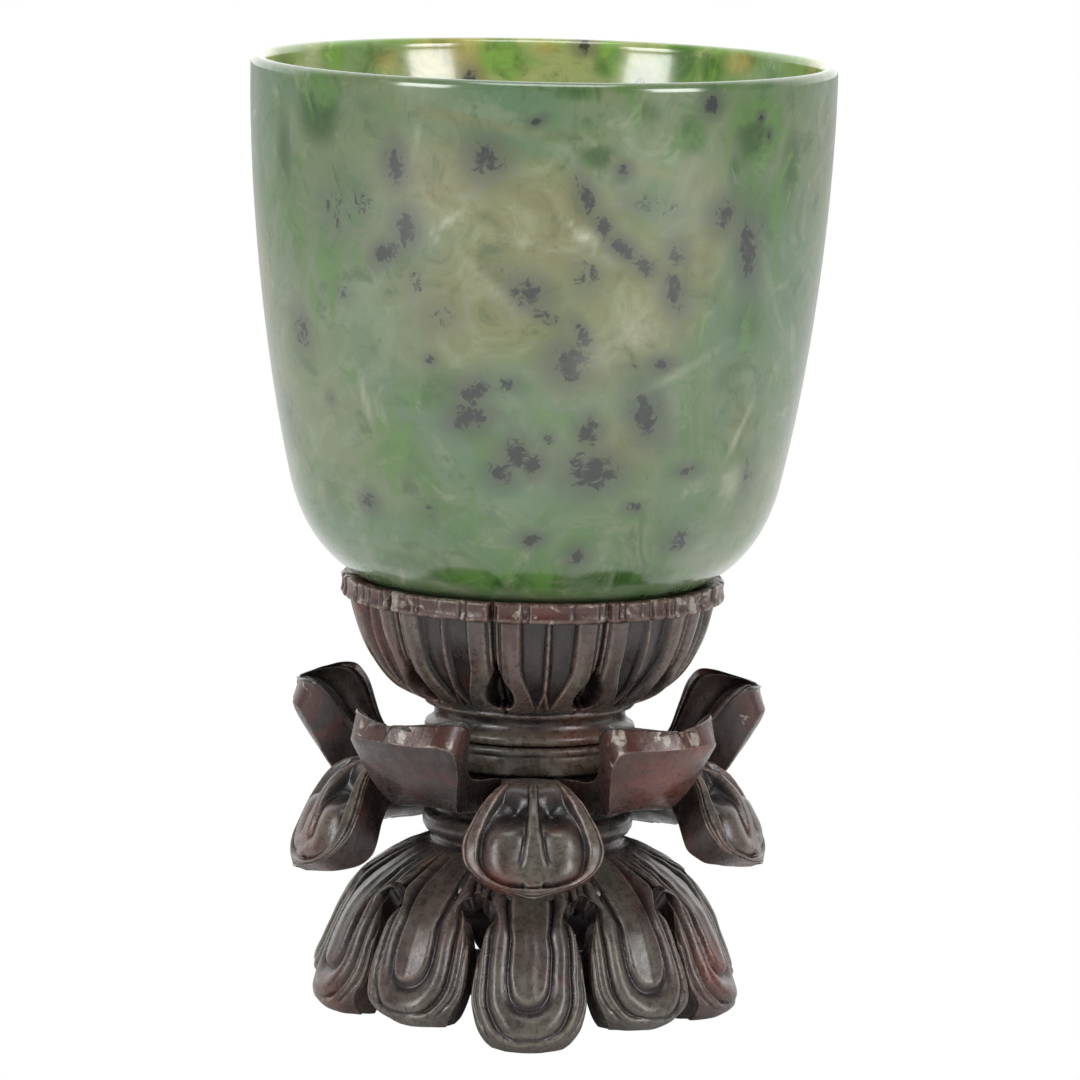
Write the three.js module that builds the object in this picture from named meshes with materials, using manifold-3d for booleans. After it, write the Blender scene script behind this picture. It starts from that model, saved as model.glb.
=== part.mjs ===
import * as THREE from 'three';
import { mergeVertices } from 'three/addons/utils/BufferGeometryUtils.js';
import Module from 'manifold-3d';

// A hollowed stone cup on a carved lotus stand. Millimetres, +Z up, the front faces -Y.

const wasm = await Module();
wasm.setup();
const { Manifold, Mesh } = wasm;

// Fits
const SEAT_GAP = 0.3;
const CHAMFER = 0.4;
const WELD = 1e-4;
const SLIVER = 0.05;
const FRONT_TURN = -90;

// Cup
const CUP_RIM_RADIUS = 32.5;
const CUP_HEIGHT = 61.6;
const CUP_WALL = 1.7;
const CUP_FLOOR = 5;
const CUP_SHOULDER_RADIUS = 27.5;
const CUP_SHOULDER_HEIGHT = 15.7;
const CUP_FOOT_RADIUS = 13;
const CUP_FOOT_HEIGHT = 1.6;
const CUP_FOOT_WIDTH = 2.2;
const CUP_SEGMENTS = 40;

// Dowel through the three turned blocks
const DOWEL_RADIUS = 2.6;
const DOWEL_IN_DISH = 7;
const DOWEL_IN_BASE = 3.6;

// Lotus base, with petals that reach the floor and shorter ones between them
const BASE_HEIGHT = 20.1;
const BASE_NECK_RADIUS = 10.8;
const BASE_CROWN = 4.2;
const BASE_CROWN_REACH = 16.2;
const BASE_PETALS = 10;
const BASE_PETAL_ROOT = 10;
const BASE_PETAL_REACH = 24.8;
const BASE_PETAL_HALF_WIDTH = 6.5;
const BASE_PETAL_DROP = 0.5;
const BASE_SHORT_PETAL_RISE = 1.9;
const BASE_RELIEF = 0.8;
const BASE_SEGMENTS = 30;

// Hub
const HUB_HEIGHT = 11.3;
const HUB_RADIUS = 10.4;
const HUB_BAND_RADIUS = 11.3;
const HUB_BAND_HEIGHT = 3.1;
const HUB_FOOT_RADIUS = 11.8;
const HUB_FOOT_HEIGHT = 2.5;
const HUB_SEGMENTS = 30;

// Tenons of the ten middle petals
const TENON_LENGTH = 2.6;
const TENON_WIDTH = 3.4;
const TENON_HEIGHT = 2.4;
const SOCKET_OVERCUT = 1;
const MIDDLE_PETALS = 5;

// Upturned petals
const UP_REACH = 27.8;
const UP_RISE = 11.9;
const UP_HALF_WIDTH = 7.4;
const UP_ROOT_HEIGHT = 1.7;
const UP_STEM = 3.1;
const UP_RELIEF = 0.6;

// Downturned petals
const DOWN_REACH = 27.4;
const DOWN_DROP = 10.7;
const DOWN_HALF_WIDTH = 7.9;
const DOWN_STEM = 3.7;
const DOWN_RELIEF = 1.1;
const DOWN_HOLLOW = 1.8;

// Upper lotus dish
const DISH_SEAT_HEIGHT = 13.3;
const DISH_LIP_HEIGHT = 17.5;
const DISH_LIP_RADIUS = 21.4;
const DISH_LIP_BAND = 2.3;
const DISH_LIP_STEP = 1.3;
const DISH_STEM_RADIUS = 11.8;
const DISH_NECK_RADIUS = 10.7;
const DISH_NECK_HEIGHT = 2.4;
const DISH_COLLAR = 1.1;
const DISH_PETALS = 10;
const DISH_PETAL_TURN = 4;
const DISH_SEAM = 0.9;
const DISH_PANEL = 0.8;
const DISH_HOLLOW = 2.2;
const DISH_COLUMNS = 8;

// Heights that stack from the floor up
const HUB_BOTTOM = BASE_HEIGHT + SEAT_GAP;
const HUB_TOP = HUB_BOTTOM + HUB_HEIGHT;
const DISH_BOTTOM = HUB_TOP + SEAT_GAP;
const CUP_BOTTOM = DISH_BOTTOM + DISH_SEAT_HEIGHT + SEAT_GAP;
const CUP_TOP = CUP_BOTTOM + CUP_HEIGHT;
const BORE_RADIUS = DOWEL_RADIUS + SEAT_GAP;
const HUB_SHOULDER = HUB_RADIUS + SEAT_GAP;
const UP_ROOT = HUB_BOTTOM + HUB_FOOT_HEIGHT + UP_ROOT_HEIGHT;
const DOWN_ROOT = HUB_TOP - HUB_BAND_HEIGHT - SEAT_GAP;

// Petal outlines from root to tip, as shares of a petal's own reach, half width and height:
// the middle line and the border of its carved face, then those of its plain back
const UP_FACE_MIDDLE = [
  [0, 0.256], [0.105, 0.265], [0.263, 0.286], [0.415, 0.328], [0.556, 0.403], [0.673, 0.513],
  [0.772, 0.639], [0.848, 0.748], [0.906, 0.84], [0.947, 0.908], [0.971, 0.95],
];
const UP_FACE_BORDER = [
  [0, 0.432, 0.277], [0.094, 0.439, 0.294], [0.228, 0.453, 0.311], [0.357, 0.514, 0.37],
  [0.462, 0.649, 0.504], [0.55, 0.811, 0.706], [0.637, 0.959, 0.899], [0.725, 1, 0.992], [0.825, 0.838, 1],
  [0.918, 0.473, 0.975], [0.971, 0.068, 0.954],
];
const UP_BACK_MIDDLE = [
  [0, 0], [0.111, 0.013], [0.275, 0.038], [0.427, 0.076], [0.567, 0.134], [0.678, 0.235], [0.784, 0.361],
  [0.854, 0.487], [0.918, 0.605], [0.971, 0.714], [1, 0.79],
];
const UP_BACK_BORDER = [
  [0, 0.432, 0], [0.105, 0.439, 0.017], [0.251, 0.453, 0.034], [0.392, 0.486, 0.059], [0.55, 0.581, 0.101],
  [0.661, 0.757, 0.303], [0.754, 0.892, 0.571], [0.83, 0.905, 0.731], [0.895, 0.757, 0.773],
  [0.953, 0.432, 0.782], [0.997, 0.068, 0.79],
];
const DOWN_FACE_MIDDLE = [
  [0, -0.028], [0.126, 0.035], [0.335, 0.093], [0.497, 0.103], [0.635, 0.056], [0.743, -0.056],
  [0.826, -0.224], [0.88, -0.402], [0.922, -0.579], [0.952, -0.729], [0.982, -0.841], [1, -0.953],
];
const DOWN_FACE_BORDER = [
  [0, 0.354, -0.037], [0.108, 0.354, 0.019], [0.287, 0.367, 0.075], [0.443, 0.405, 0.093],
  [0.557, 0.532, 0.056], [0.629, 0.696, -0.056], [0.689, 0.861, -0.234], [0.749, 0.975, -0.402],
  [0.796, 1, -0.533], [0.862, 0.911, -0.682], [0.94, 0.595, -0.841], [1, 0.051, -0.953],
];
const DOWN_BACK_MIDDLE = [
  [0, -0.346], [0.114, -0.299], [0.293, -0.252], [0.425, -0.252], [0.521, -0.29], [0.581, -0.364],
  [0.629, -0.486], [0.665, -0.607], [0.695, -0.72], [0.731, -0.832], [0.808, -0.925], [0.928, -0.991],
];
const DOWN_BACK_BORDER = [
  [0, 0.354, -0.346], [0.102, 0.354, -0.308], [0.269, 0.367, -0.271], [0.371, 0.392, -0.29],
  [0.437, 0.494, -0.355], [0.491, 0.633, -0.458], [0.527, 0.759, -0.551], [0.557, 0.835, -0.645],
  [0.593, 0.861, -0.748], [0.659, 0.797, -0.85], [0.772, 0.544, -0.935], [0.922, 0.051, -0.995],
];
const BASE_FACE_MIDDLE = [
  [0, 0], [0.135, -0.015], [0.27, -0.061], [0.405, -0.128], [0.541, -0.204], [0.649, -0.286],
  [0.736, -0.378], [0.804, -0.485], [0.865, -0.602], [0.926, -0.714], [0.973, -0.811], [1, -0.903],
  [0.953, -0.959], [0.865, -1.005],
];
const BASE_FACE_BORDER = [
  [0, 0.523, -0.01], [0.122, 0.608, -0.031], [0.243, 0.7, -0.071], [0.358, 0.785, -0.117],
  [0.439, 0.846, -0.158], [0.5, 0.708, -0.194], [0.561, 0.615, -0.25], [0.615, 0.785, -0.372],
  [0.669, 0.915, -0.52], [0.716, 0.985, -0.663], [0.757, 1, -0.765], [0.804, 0.923, -0.862],
  [0.77, 0.769, -0.949], [0.703, 0.615, -1.005],
];
const BASE_BACK_MIDDLE = [
  [0, -0.138], [0.095, -0.143], [0.196, -0.173], [0.304, -0.23], [0.412, -0.296], [0.5, -0.367],
  [0.574, -0.449], [0.628, -0.541], [0.676, -0.643], [0.709, -0.74], [0.73, -0.821], [0.743, -0.888],
  [0.75, -0.949], [0.757, -1.005],
];
const BASE_BACK_BORDER = [
  [0, 0.523, -0.138], [0.088, 0.6, -0.148], [0.176, 0.677, -0.184], [0.264, 0.738, -0.23],
  [0.338, 0.754, -0.27], [0.392, 0.662, -0.306], [0.432, 0.6, -0.357], [0.466, 0.708, -0.449],
  [0.5, 0.8, -0.571], [0.534, 0.846, -0.694], [0.561, 0.846, -0.786], [0.581, 0.8, -0.872],
  [0.595, 0.708, -0.949], [0.601, 0.569, -1.005],
];

// Corners of the ring that joins the base's petals inside, as shares of their reach and height
const BASE_RING_CORNERS = [
  [0.513514, 0.270408],
  [0.608108, 0.270408],
  [0.527027, 0.510204],
  [0.432432, 0.510204],
];

// Half sections of the carved faces, from the middle to the border: place across, share of the relief
const UP_SECTION = [[0, 0.3], [0.25, -0.7], [0.52, 0.3], [1, 0]];
const DOWN_SECTION = [[0, 0.1], [0.1, -0.8], [0.4, 0.1], [0.7, -0.9], [0.8, 0], [1, 0]];
const BASE_SECTION = [[0, 0.1], [0.4, -1], [0.6, 0], [0.79, -1], [0.9, 0], [1, 0]];

const jade = { color: 0x5f7d5c, roughness: 0.22, metalness: 0 };
const wood = { color: 0x33251f, roughness: 0.45, metalness: 0 };

const lerp = THREE.MathUtils.lerp;
const rad = THREE.MathUtils.degToRad;

// Geometry helpers

function weld(geometry) {
  const bare = new THREE.BufferGeometry();
  bare.setAttribute('position', geometry.getAttribute('position'));
  bare.setIndex(geometry.getIndex());
  const merged = mergeVertices(bare, WELD);
  const old = merged.getIndex().array;
  const kept = [];
  for (let i = 0; i < old.length; i += 3) {
    const [a, b, c] = [old[i], old[i + 1], old[i + 2]];
    if (a !== b && b !== c && c !== a) kept.push(a, b, c);
  }
  merged.setIndex(kept);
  return merged;
}

function signedVolume(geometry) {
  const points = geometry.getAttribute('position');
  const index = geometry.getIndex().array;
  const [a, b, c] = [new THREE.Vector3(), new THREE.Vector3(), new THREE.Vector3()];
  let total = 0;
  for (let i = 0; i < index.length; i += 3) {
    a.fromBufferAttribute(points, index[i]);
    b.fromBufferAttribute(points, index[i + 1]);
    c.fromBufferAttribute(points, index[i + 2]);
    total += a.dot(b.cross(c)) / 6;
  }
  return total;
}

function facingOut(geometry) {
  const solid = weld(geometry);
  if (signedVolume(solid) < 0) solid.setIndex([...solid.getIndex().array].reverse());
  return solid;
}

function toSolid(geometry) {
  return new Manifold(new Mesh({
    numProp: 3,
    vertProperties: new Float32Array(geometry.getAttribute('position').array),
    triVerts: new Uint32Array(geometry.getIndex().array),
  }));
}

function toGeometry(solid) {
  const mesh = solid.getMesh();
  const geometry = new THREE.BufferGeometry();
  geometry.setAttribute('position', new THREE.BufferAttribute(mesh.vertProperties, 3));
  geometry.setIndex([...mesh.triVerts]);
  return geometry;
}

// Revolves [radius, height] pairs; shape(angle, row) may push each point of a row outwards
function revolve(profile, segments, shape = () => 0) {
  const points = profile.map(([radius, height]) => new THREE.Vector2(radius, height));
  const geometry = new THREE.LatheGeometry(points, segments).rotateX(Math.PI / 2);
  const position = geometry.getAttribute('position');
  for (let i = 0; i < position.count; i++) {
    const row = i % points.length;
    const radius = points[row].x;
    if (radius === 0) continue;
    const angle = 2 * Math.PI * Math.floor(i / points.length) / segments;
    const share = (radius + shape(angle, row)) / radius;
    position.setXY(i, position.getX(i) * share, position.getY(i) * share);
  }
  return facingOut(geometry);
}

// Points of a cubic curve through [radius, height] pairs
function curvePoints(start, startPull, endPull, end, steps) {
  const pairs = [start, startPull, endPull, end].map(([radius, height]) => new THREE.Vector2(radius, height));
  return new THREE.CubicBezierCurve(...pairs).getPoints(steps).map((point) => [point.x, point.y]);
}

// Cup

function cupSide(steps) {
  const foot = CUP_BOTTOM + CUP_FOOT_HEIGHT;
  const shoulder = CUP_BOTTOM + CUP_SHOULDER_HEIGHT;
  const turn = [CUP_SHOULDER_RADIUS, shoulder];
  const bowl = shoulder - foot;
  const wall = CUP_TOP - shoulder;
  const lower = curvePoints(
    [CUP_FOOT_RADIUS, foot],
    [lerp(CUP_FOOT_RADIUS, CUP_SHOULDER_RADIUS, 0.68), foot + 0.14 * bowl],
    [lerp(CUP_FOOT_RADIUS, CUP_SHOULDER_RADIUS, 0.91), foot + 0.55 * bowl],
    turn,
    steps,
  );
  const upper = curvePoints(
    turn,
    [lerp(CUP_SHOULDER_RADIUS, CUP_RIM_RADIUS, 0.59), shoulder + 0.28 * wall],
    [CUP_RIM_RADIUS, shoulder + 0.67 * wall],
    [CUP_RIM_RADIUS, CUP_TOP - CUP_WALL / 2],
    steps,
  );
  return [...lower, ...upper.slice(1)];
}

// The cup's outside radius at a height
function cupRadiusAt(height) {
  const side = cupSide(40);
  const above = Math.max(1, side.findIndex(([, z]) => z >= height));
  const [low, high] = [side[above - 1], side[above]];
  return lerp(low[0], high[0], (height - low[1]) / (high[1] - low[1]));
}

function cupGeometry() {
  const outside = cupSide(5);
  const floor = CUP_BOTTOM + CUP_FOOT_HEIGHT + CUP_FLOOR - SEAT_GAP;
  const inside = outside
    .filter(([, height]) => height > floor + CUP_WALL)
    .map(([radius, height]) => [radius - CUP_WALL, height])
    .reverse();
  const [turnRadius, turnHeight] = inside.at(-1);
  const bowl = curvePoints(
    [turnRadius, turnHeight],
    [turnRadius - (turnHeight - floor), lerp(turnHeight, floor, 0.6)],
    [turnRadius * 0.62, floor],
    [0, floor],
    5,
  );
  const ring = CUP_FOOT_RADIUS - CUP_FOOT_WIDTH;
  return revolve([
    [0, CUP_BOTTOM + CUP_FOOT_HEIGHT / 2],
    [ring - CUP_FOOT_HEIGHT / 2, CUP_BOTTOM + CUP_FOOT_HEIGHT / 2],
    [ring, CUP_BOTTOM],
    [CUP_FOOT_RADIUS - CUP_FOOT_HEIGHT / 4, CUP_BOTTOM],
    ...outside,
    [CUP_RIM_RADIUS - CUP_WALL * 0.25, CUP_TOP],
    [CUP_RIM_RADIUS - CUP_WALL * 0.75, CUP_TOP],
    ...inside,
    ...bowl.slice(1),
  ], CUP_SEGMENTS);
}

// Upper lotus dish

// Depth of the dish's carving: across runs from 0 in a petal's middle to 1 at a seam, along from
// the dish's root to its lip band and beyond
function dishCarving(angle, along) {
  const pitch = 2 * Math.PI / DISH_PETALS;
  const turned = (angle - rad(DISH_PETAL_TURN)) / pitch;
  const across = Math.abs(2 * (turned - Math.round(turned)));
  const seam = across > 0.9 ? -DISH_SEAM : 0;
  if (along > 1) return seam;
  const hollow = across > 0.7 ? -DISH_HOLLOW * Math.exp(-(((along - 0.26) / 0.13) ** 2)) : 0;
  const fade = Math.sin(Math.PI * Math.min(0.5, along / 0.4));
  const panel = across > 0.1 && across < 0.6 ? -DISH_PANEL * fade : 0;
  return seam + hollow + panel;
}

function dishGeometry() {
  const lip = DISH_BOTTOM + DISH_LIP_HEIGHT;
  const seat = DISH_BOTTOM + DISH_SEAT_HEIGHT;
  const bandBottom = lip - DISH_LIP_BAND;
  const boreTop = DISH_BOTTOM + DOWEL_IN_DISH + SEAT_GAP;
  const neck = DISH_BOTTOM + DISH_NECK_HEIGHT;
  const bowlRoot = [DISH_NECK_RADIUS + DISH_COLLAR / 2, neck + DISH_COLLAR * 1.3];
  const bowl = curvePoints(
    bowlRoot,
    [lerp(DISH_NECK_RADIUS, DISH_LIP_RADIUS, 0.52), neck + DISH_NECK_HEIGHT],
    [lerp(DISH_NECK_RADIUS, DISH_LIP_RADIUS, 0.76), neck + 3 * DISH_NECK_HEIGHT],
    [DISH_LIP_RADIUS - DISH_LIP_STEP, bandBottom],
    6,
  );
  const cradle = [];
  for (const share of [0, 0.5, 1]) {
    const height = lerp(lip, CUP_BOTTOM + CUP_FOOT_HEIGHT, share);
    cradle.push([cupRadiusAt(height) + SEAT_GAP, height]);
  }
  const before = [
    [0, boreTop],
    [BORE_RADIUS, boreTop],
    [BORE_RADIUS, DISH_BOTTOM],
    [DISH_STEM_RADIUS - CHAMFER, DISH_BOTTOM],
    [DISH_STEM_RADIUS, lerp(DISH_BOTTOM, neck, 0.3)],
    [DISH_NECK_RADIUS, lerp(DISH_BOTTOM, neck, 0.8)],
    [DISH_NECK_RADIUS + DISH_COLLAR, neck + DISH_COLLAR],
  ];
  const band = [
    [DISH_LIP_RADIUS, bandBottom + CHAMFER / 2],
    [DISH_LIP_RADIUS, lip - CHAMFER],
    [DISH_LIP_RADIUS - CHAMFER, lip],
  ];
  const inside = [...cradle, [cradle.at(-1)[0], seat], [0, seat]];
  const first = before.length;
  const last = first + bowl.length - 1;
  const shape = (angle, row) => {
    if (row < first || row > last + band.length) return 0;
    const along = row > last ? 2 : (row - first) / (last - first);
    return dishCarving(angle - rad(FRONT_TURN), along);
  };
  const profile = [...before, ...bowl, ...band, ...inside];
  return revolve(profile, DISH_PETALS * DISH_COLUMNS, shape);
}

// Petals

// A middle line and a border turned from shares into curves in a petal's upright plane along +X
function sheet(middle, border, { root, reach, halfWidth, bottom, height }) {
  const point = (out, wide, up) => (
    new THREE.Vector3(lerp(root, reach, out), wide * halfWidth, bottom + up * height)
  );
  return {
    middle: new THREE.CatmullRomCurve3(middle.map(([out, up]) => point(out, 0, up))),
    edge: new THREE.CatmullRomCurve3(border.map(([out, wide, up]) => point(out, wide, up))),
  };
}

// A point of a sheet: along runs from root to tip, across from border to border over an arc
function sheetPoint({ middle, edge }, arc, along, across) {
  const [a, b] = [middle.getPoint(along), edge.getPoint(along)];
  const fold = (1 - Math.cos(arc * across)) / (1 - Math.cos(arc));
  const wide = Math.sin(arc * across) / Math.sin(arc);
  return new THREE.Vector3(lerp(a.x, b.x, fold), wide * b.y, lerp(a.z, b.z, fold));
}

function faceNormal({ face, arc, carvedSide }, along, across) {
  const step = 0.02;
  const u = THREE.MathUtils.clamp(along, step, 0.93);
  const v = THREE.MathUtils.clamp(across, -0.9, 0.9);
  const alongStep = sheetPoint(face, arc, u + step, v).sub(sheetPoint(face, arc, u - step, v));
  const acrossStep = sheetPoint(face, arc, u, v + step).sub(sheetPoint(face, arc, u, v - step));
  return alongStep.cross(acrossStep).normalize().multiplyScalar(carvedSide);
}

// One ring of points round the petal: over its carved face and back over its plain back
function petalRing(petal, along) {
  const { face, back, arc, section, relief, carving, hollow } = petal;
  const left = section.slice(1).reverse().map(([across, depth]) => [-across, depth]);
  const carved = [...left, ...section].map(([across, depth]) => {
    const height = depth * relief * carving(along) - hollow(along, across);
    return sheetPoint(face, arc, along, across).addScaledVector(faceNormal(petal, along, across), height);
  });
  const plain = petal.backColumns.map((across) => sheetPoint(back, arc, along, across));
  return [...carved, ...plain];
}

function loft(rings) {
  const size = rings[0].length;
  const index = [];
  for (let r = 0; r + 1 < rings.length; r++) {
    for (let k = 0; k < size; k++) {
      const [a, b] = [r * size + k, r * size + (k + 1) % size];
      index.push(a, b, b + size, a, b + size, a + size);
    }
  }
  const ends = [rings[0], rings.at(-1)].map((ring) => (
    ring.reduce((sum, point) => sum.add(point), new THREE.Vector3()).divideScalar(size)
  ));
  const count = rings.length * size;
  for (let k = 0; k < size; k++) {
    const next = (k + 1) % size;
    index.push(count, next, k);
    index.push(count + 1, count - size + k, count - size + next);
  }
  const geometry = new THREE.BufferGeometry().setFromPoints([...rings.flat(), ...ends]);
  geometry.setIndex(index);
  return facingOut(geometry);
}

// The tenon's end and its shoulder ring, then the petal's root ring bent to the hub
function tenonRings(petal, root) {
  const faceColumns = 2 * petal.section.length - 1;
  const backColumns = petal.backColumns.length;
  const section = (radius) => root.map((_, i) => {
    const onFace = i < faceColumns;
    const across = onFace ? i / (faceColumns - 1) : 1 - (i - faceColumns) / (backColumns - 1);
    const up = (onFace ? 1 : -1) * TENON_HEIGHT / 2;
    return new THREE.Vector3(radius, (across - 0.5) * TENON_WIDTH, petal.tenonHeight + up);
  });
  const bend = (point) => new THREE.Vector3(Math.sqrt(HUB_SHOULDER ** 2 - point.y ** 2), point.y, point.z);
  return [section(HUB_SHOULDER - TENON_LENGTH), section(HUB_SHOULDER).map(bend), root.map(bend)];
}

function petalGeometry(petal) {
  const rings = [];
  for (let r = 0; r < petal.rows; r++) rings.push(petalRing(petal, r / (petal.rows - 1)));
  if (petal.tenonHeight) rings.splice(0, 1, ...tenonRings(petal, rings[0]));
  return loft(rings);
}

const upSize = {
  root: HUB_SHOULDER, reach: UP_REACH, halfWidth: UP_HALF_WIDTH, bottom: UP_ROOT, height: UP_RISE,
};
const upPetal = {
  face: sheet(UP_FACE_MIDDLE, UP_FACE_BORDER, upSize),
  back: sheet(UP_BACK_MIDDLE, UP_BACK_BORDER, upSize),
  arc: rad(60),
  carvedSide: -1,
  section: UP_SECTION,
  relief: UP_RELIEF,
  carving: (along) => Math.sin(Math.PI * along),
  hollow: () => 0,
  backColumns: [1, 0.5, 0, -0.5, -1],
  rows: 11,
  tenonHeight: UP_ROOT + UP_STEM / 2,
};

const downSize = {
  root: HUB_SHOULDER, reach: DOWN_REACH, halfWidth: DOWN_HALF_WIDTH, bottom: DOWN_ROOT, height: DOWN_DROP,
};
const downPetal = {
  face: sheet(DOWN_FACE_MIDDLE, DOWN_FACE_BORDER, downSize),
  back: sheet(DOWN_BACK_MIDDLE, DOWN_BACK_BORDER, downSize),
  arc: rad(52),
  carvedSide: 1,
  section: DOWN_SECTION,
  relief: DOWN_RELIEF,
  carving: (along) => Math.sin(Math.PI * THREE.MathUtils.clamp((along - 0.25) / 0.7, 0, 1)) ** 0.6,
  hollow: (along, across) => {
    const side = Math.abs(across);
    return side > 0.2 && side < 0.6 ? DOWN_HOLLOW * Math.exp(-(((along - 0.42) / 0.09) ** 2)) : 0;
  },
  backColumns: [1, 0.5, 0, -0.5, -1],
  rows: 12,
  tenonHeight: DOWN_ROOT - DOWN_STEM / 2,
};

// A petal of the base whose foot stands at a height above the floor
function basePetal(foot) {
  const size = {
    root: BASE_PETAL_ROOT,
    reach: BASE_PETAL_REACH,
    halfWidth: BASE_PETAL_HALF_WIDTH,
    bottom: BASE_HEIGHT - BASE_PETAL_DROP,
    height: BASE_HEIGHT - BASE_PETAL_DROP - foot,
  };
  const petal = {
    face: sheet(BASE_FACE_MIDDLE, BASE_FACE_BORDER, size),
    back: sheet(BASE_BACK_MIDDLE, BASE_BACK_BORDER, size),
    arc: rad(56),
    carvedSide: 1,
    section: BASE_SECTION,
    relief: BASE_RELIEF,
    carving: (along) => Math.sin(Math.PI * Math.min(1, along / 0.86)) ** 0.7,
    hollow: () => 0,
    backColumns: [1, 0, -1],
    rows: 12,
  };
  return toSolid(petalGeometry(petal)).trimByPlane([0, 0, 1], foot);
}

// Hub, dowel and base

function socket(petal) {
  const far = HUB_BAND_RADIUS + SOCKET_OVERCUT;
  const near = HUB_SHOULDER - TENON_LENGTH - SEAT_GAP;
  const geometry = new THREE.BoxGeometry(far - near, TENON_WIDTH + 2 * SEAT_GAP, TENON_HEIGHT + 2 * SEAT_GAP);
  geometry.translate((far + near) / 2, 0, petal.tenonHeight);
  return toSolid(weld(geometry));
}

function hubGeometry() {
  const bandBottom = HUB_TOP - HUB_BAND_HEIGHT;
  const footTop = HUB_BOTTOM + HUB_FOOT_HEIGHT;
  let hub = toSolid(revolve([
    [BORE_RADIUS, HUB_BOTTOM],
    [HUB_FOOT_RADIUS - 2 * CHAMFER, HUB_BOTTOM],
    [HUB_FOOT_RADIUS, lerp(HUB_BOTTOM, footTop, 0.5)],
    [HUB_FOOT_RADIUS - CHAMFER, footTop],
    [HUB_RADIUS, footTop],
    [HUB_RADIUS, bandBottom],
    [HUB_BAND_RADIUS, bandBottom],
    [HUB_BAND_RADIUS, HUB_TOP - CHAMFER],
    [HUB_BAND_RADIUS - CHAMFER, HUB_TOP],
    [BORE_RADIUS, HUB_TOP],
    [BORE_RADIUS, HUB_BOTTOM],
  ], HUB_SEGMENTS));
  const step = 360 / MIDDLE_PETALS;
  for (let i = 0; i < MIDDLE_PETALS; i++) {
    hub = hub.subtract(socket(downPetal).rotate([0, 0, i * step + FRONT_TURN]));
    hub = hub.subtract(socket(upPetal).rotate([0, 0, (i + 0.5) * step + FRONT_TURN]));
  }
  return toGeometry(hub);
}

function dowelGeometry() {
  const bottom = BASE_HEIGHT - DOWEL_IN_BASE;
  const top = DISH_BOTTOM + DOWEL_IN_DISH;
  const geometry = new THREE.CylinderGeometry(DOWEL_RADIUS, DOWEL_RADIUS, top - bottom, 16);
  return facingOut(geometry.rotateX(Math.PI / 2).translate(0, 0, (top + bottom) / 2));
}

function baseGeometry() {
  const under = BASE_HEIGHT - BASE_CROWN;
  const crown = toSolid(revolve([
    [BORE_RADIUS, under],
    [BASE_NECK_RADIUS, under - CHAMFER],
    [lerp(BASE_NECK_RADIUS, BASE_CROWN_REACH, 0.7), under - 2 * CHAMFER],
    [BASE_CROWN_REACH, under],
    [lerp(BASE_NECK_RADIUS, BASE_CROWN_REACH, 0.6), lerp(under, BASE_HEIGHT, 0.45)],
    [BASE_NECK_RADIUS, BASE_HEIGHT - 2 * CHAMFER],
    [BASE_NECK_RADIUS, BASE_HEIGHT],
    [BORE_RADIUS, BASE_HEIGHT],
    [BORE_RADIUS, under],
  ], BASE_SEGMENTS));
  const petalHeight = BASE_HEIGHT - BASE_PETAL_DROP;
  const ringCorners = BASE_RING_CORNERS.map(([out, up]) => [
    lerp(BASE_PETAL_ROOT, BASE_PETAL_REACH, out),
    up * petalHeight,
  ]);
  const ring = toSolid(revolve([...ringCorners, ringCorners[0]], BASE_SEGMENTS));
  const petals = [basePetal(0), basePetal(BASE_SHORT_PETAL_RISE)];
  let base = crown.add(ring);
  for (let i = 0; i < BASE_PETALS; i++) {
    base = base.add(petals[i % 2].rotate([0, 0, i * 360 / BASE_PETALS + FRONT_TURN]));
  }
  return toGeometry(base.simplify(SLIVER));
}

// The assembly

const assembly = new THREE.Group();

function addPiece(name, geometry, finish, turn = 0) {
  const mesh = new THREE.Mesh(geometry, new THREE.MeshStandardMaterial(finish));
  mesh.name = name;
  mesh.rotation.z = rad(turn);
  assembly.add(mesh);
}

addPiece('jade_cup', cupGeometry(), jade);
addPiece('upper_lotus_dish', dishGeometry(), wood);
addPiece('petal_hub', hubGeometry(), wood);
addPiece('centre_dowel', dowelGeometry(), wood);
addPiece('lotus_base', baseGeometry(), wood);

for (let i = 0; i < MIDDLE_PETALS; i++) {
  const step = 360 / MIDDLE_PETALS;
  addPiece(`downturned_petal_${i + 1}`, petalGeometry(downPetal), wood, i * step + FRONT_TURN);
  addPiece(`upturned_petal_${i + 1}`, petalGeometry(upPetal), wood, (i + 0.5) * step + FRONT_TURN);
}

export default assembly;
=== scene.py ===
import math

import bpy
import numpy as np
from mathutils import Euler, Matrix, Vector


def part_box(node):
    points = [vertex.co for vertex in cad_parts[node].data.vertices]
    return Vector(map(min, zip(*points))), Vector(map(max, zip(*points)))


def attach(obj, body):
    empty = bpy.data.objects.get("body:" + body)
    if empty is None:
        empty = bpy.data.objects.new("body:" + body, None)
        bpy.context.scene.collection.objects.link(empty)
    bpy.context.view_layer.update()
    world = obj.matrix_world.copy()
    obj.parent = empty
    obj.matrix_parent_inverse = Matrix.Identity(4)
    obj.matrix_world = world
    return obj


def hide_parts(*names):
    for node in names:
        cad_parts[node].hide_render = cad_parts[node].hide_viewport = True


# A jade cup on its carved lotus stand: the looks of every piece, in the CAD model's frame.
# Shapes are worked out in millimetres and written to Blender in metres.

MM = 0.001
DETAIL = 1.0

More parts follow.
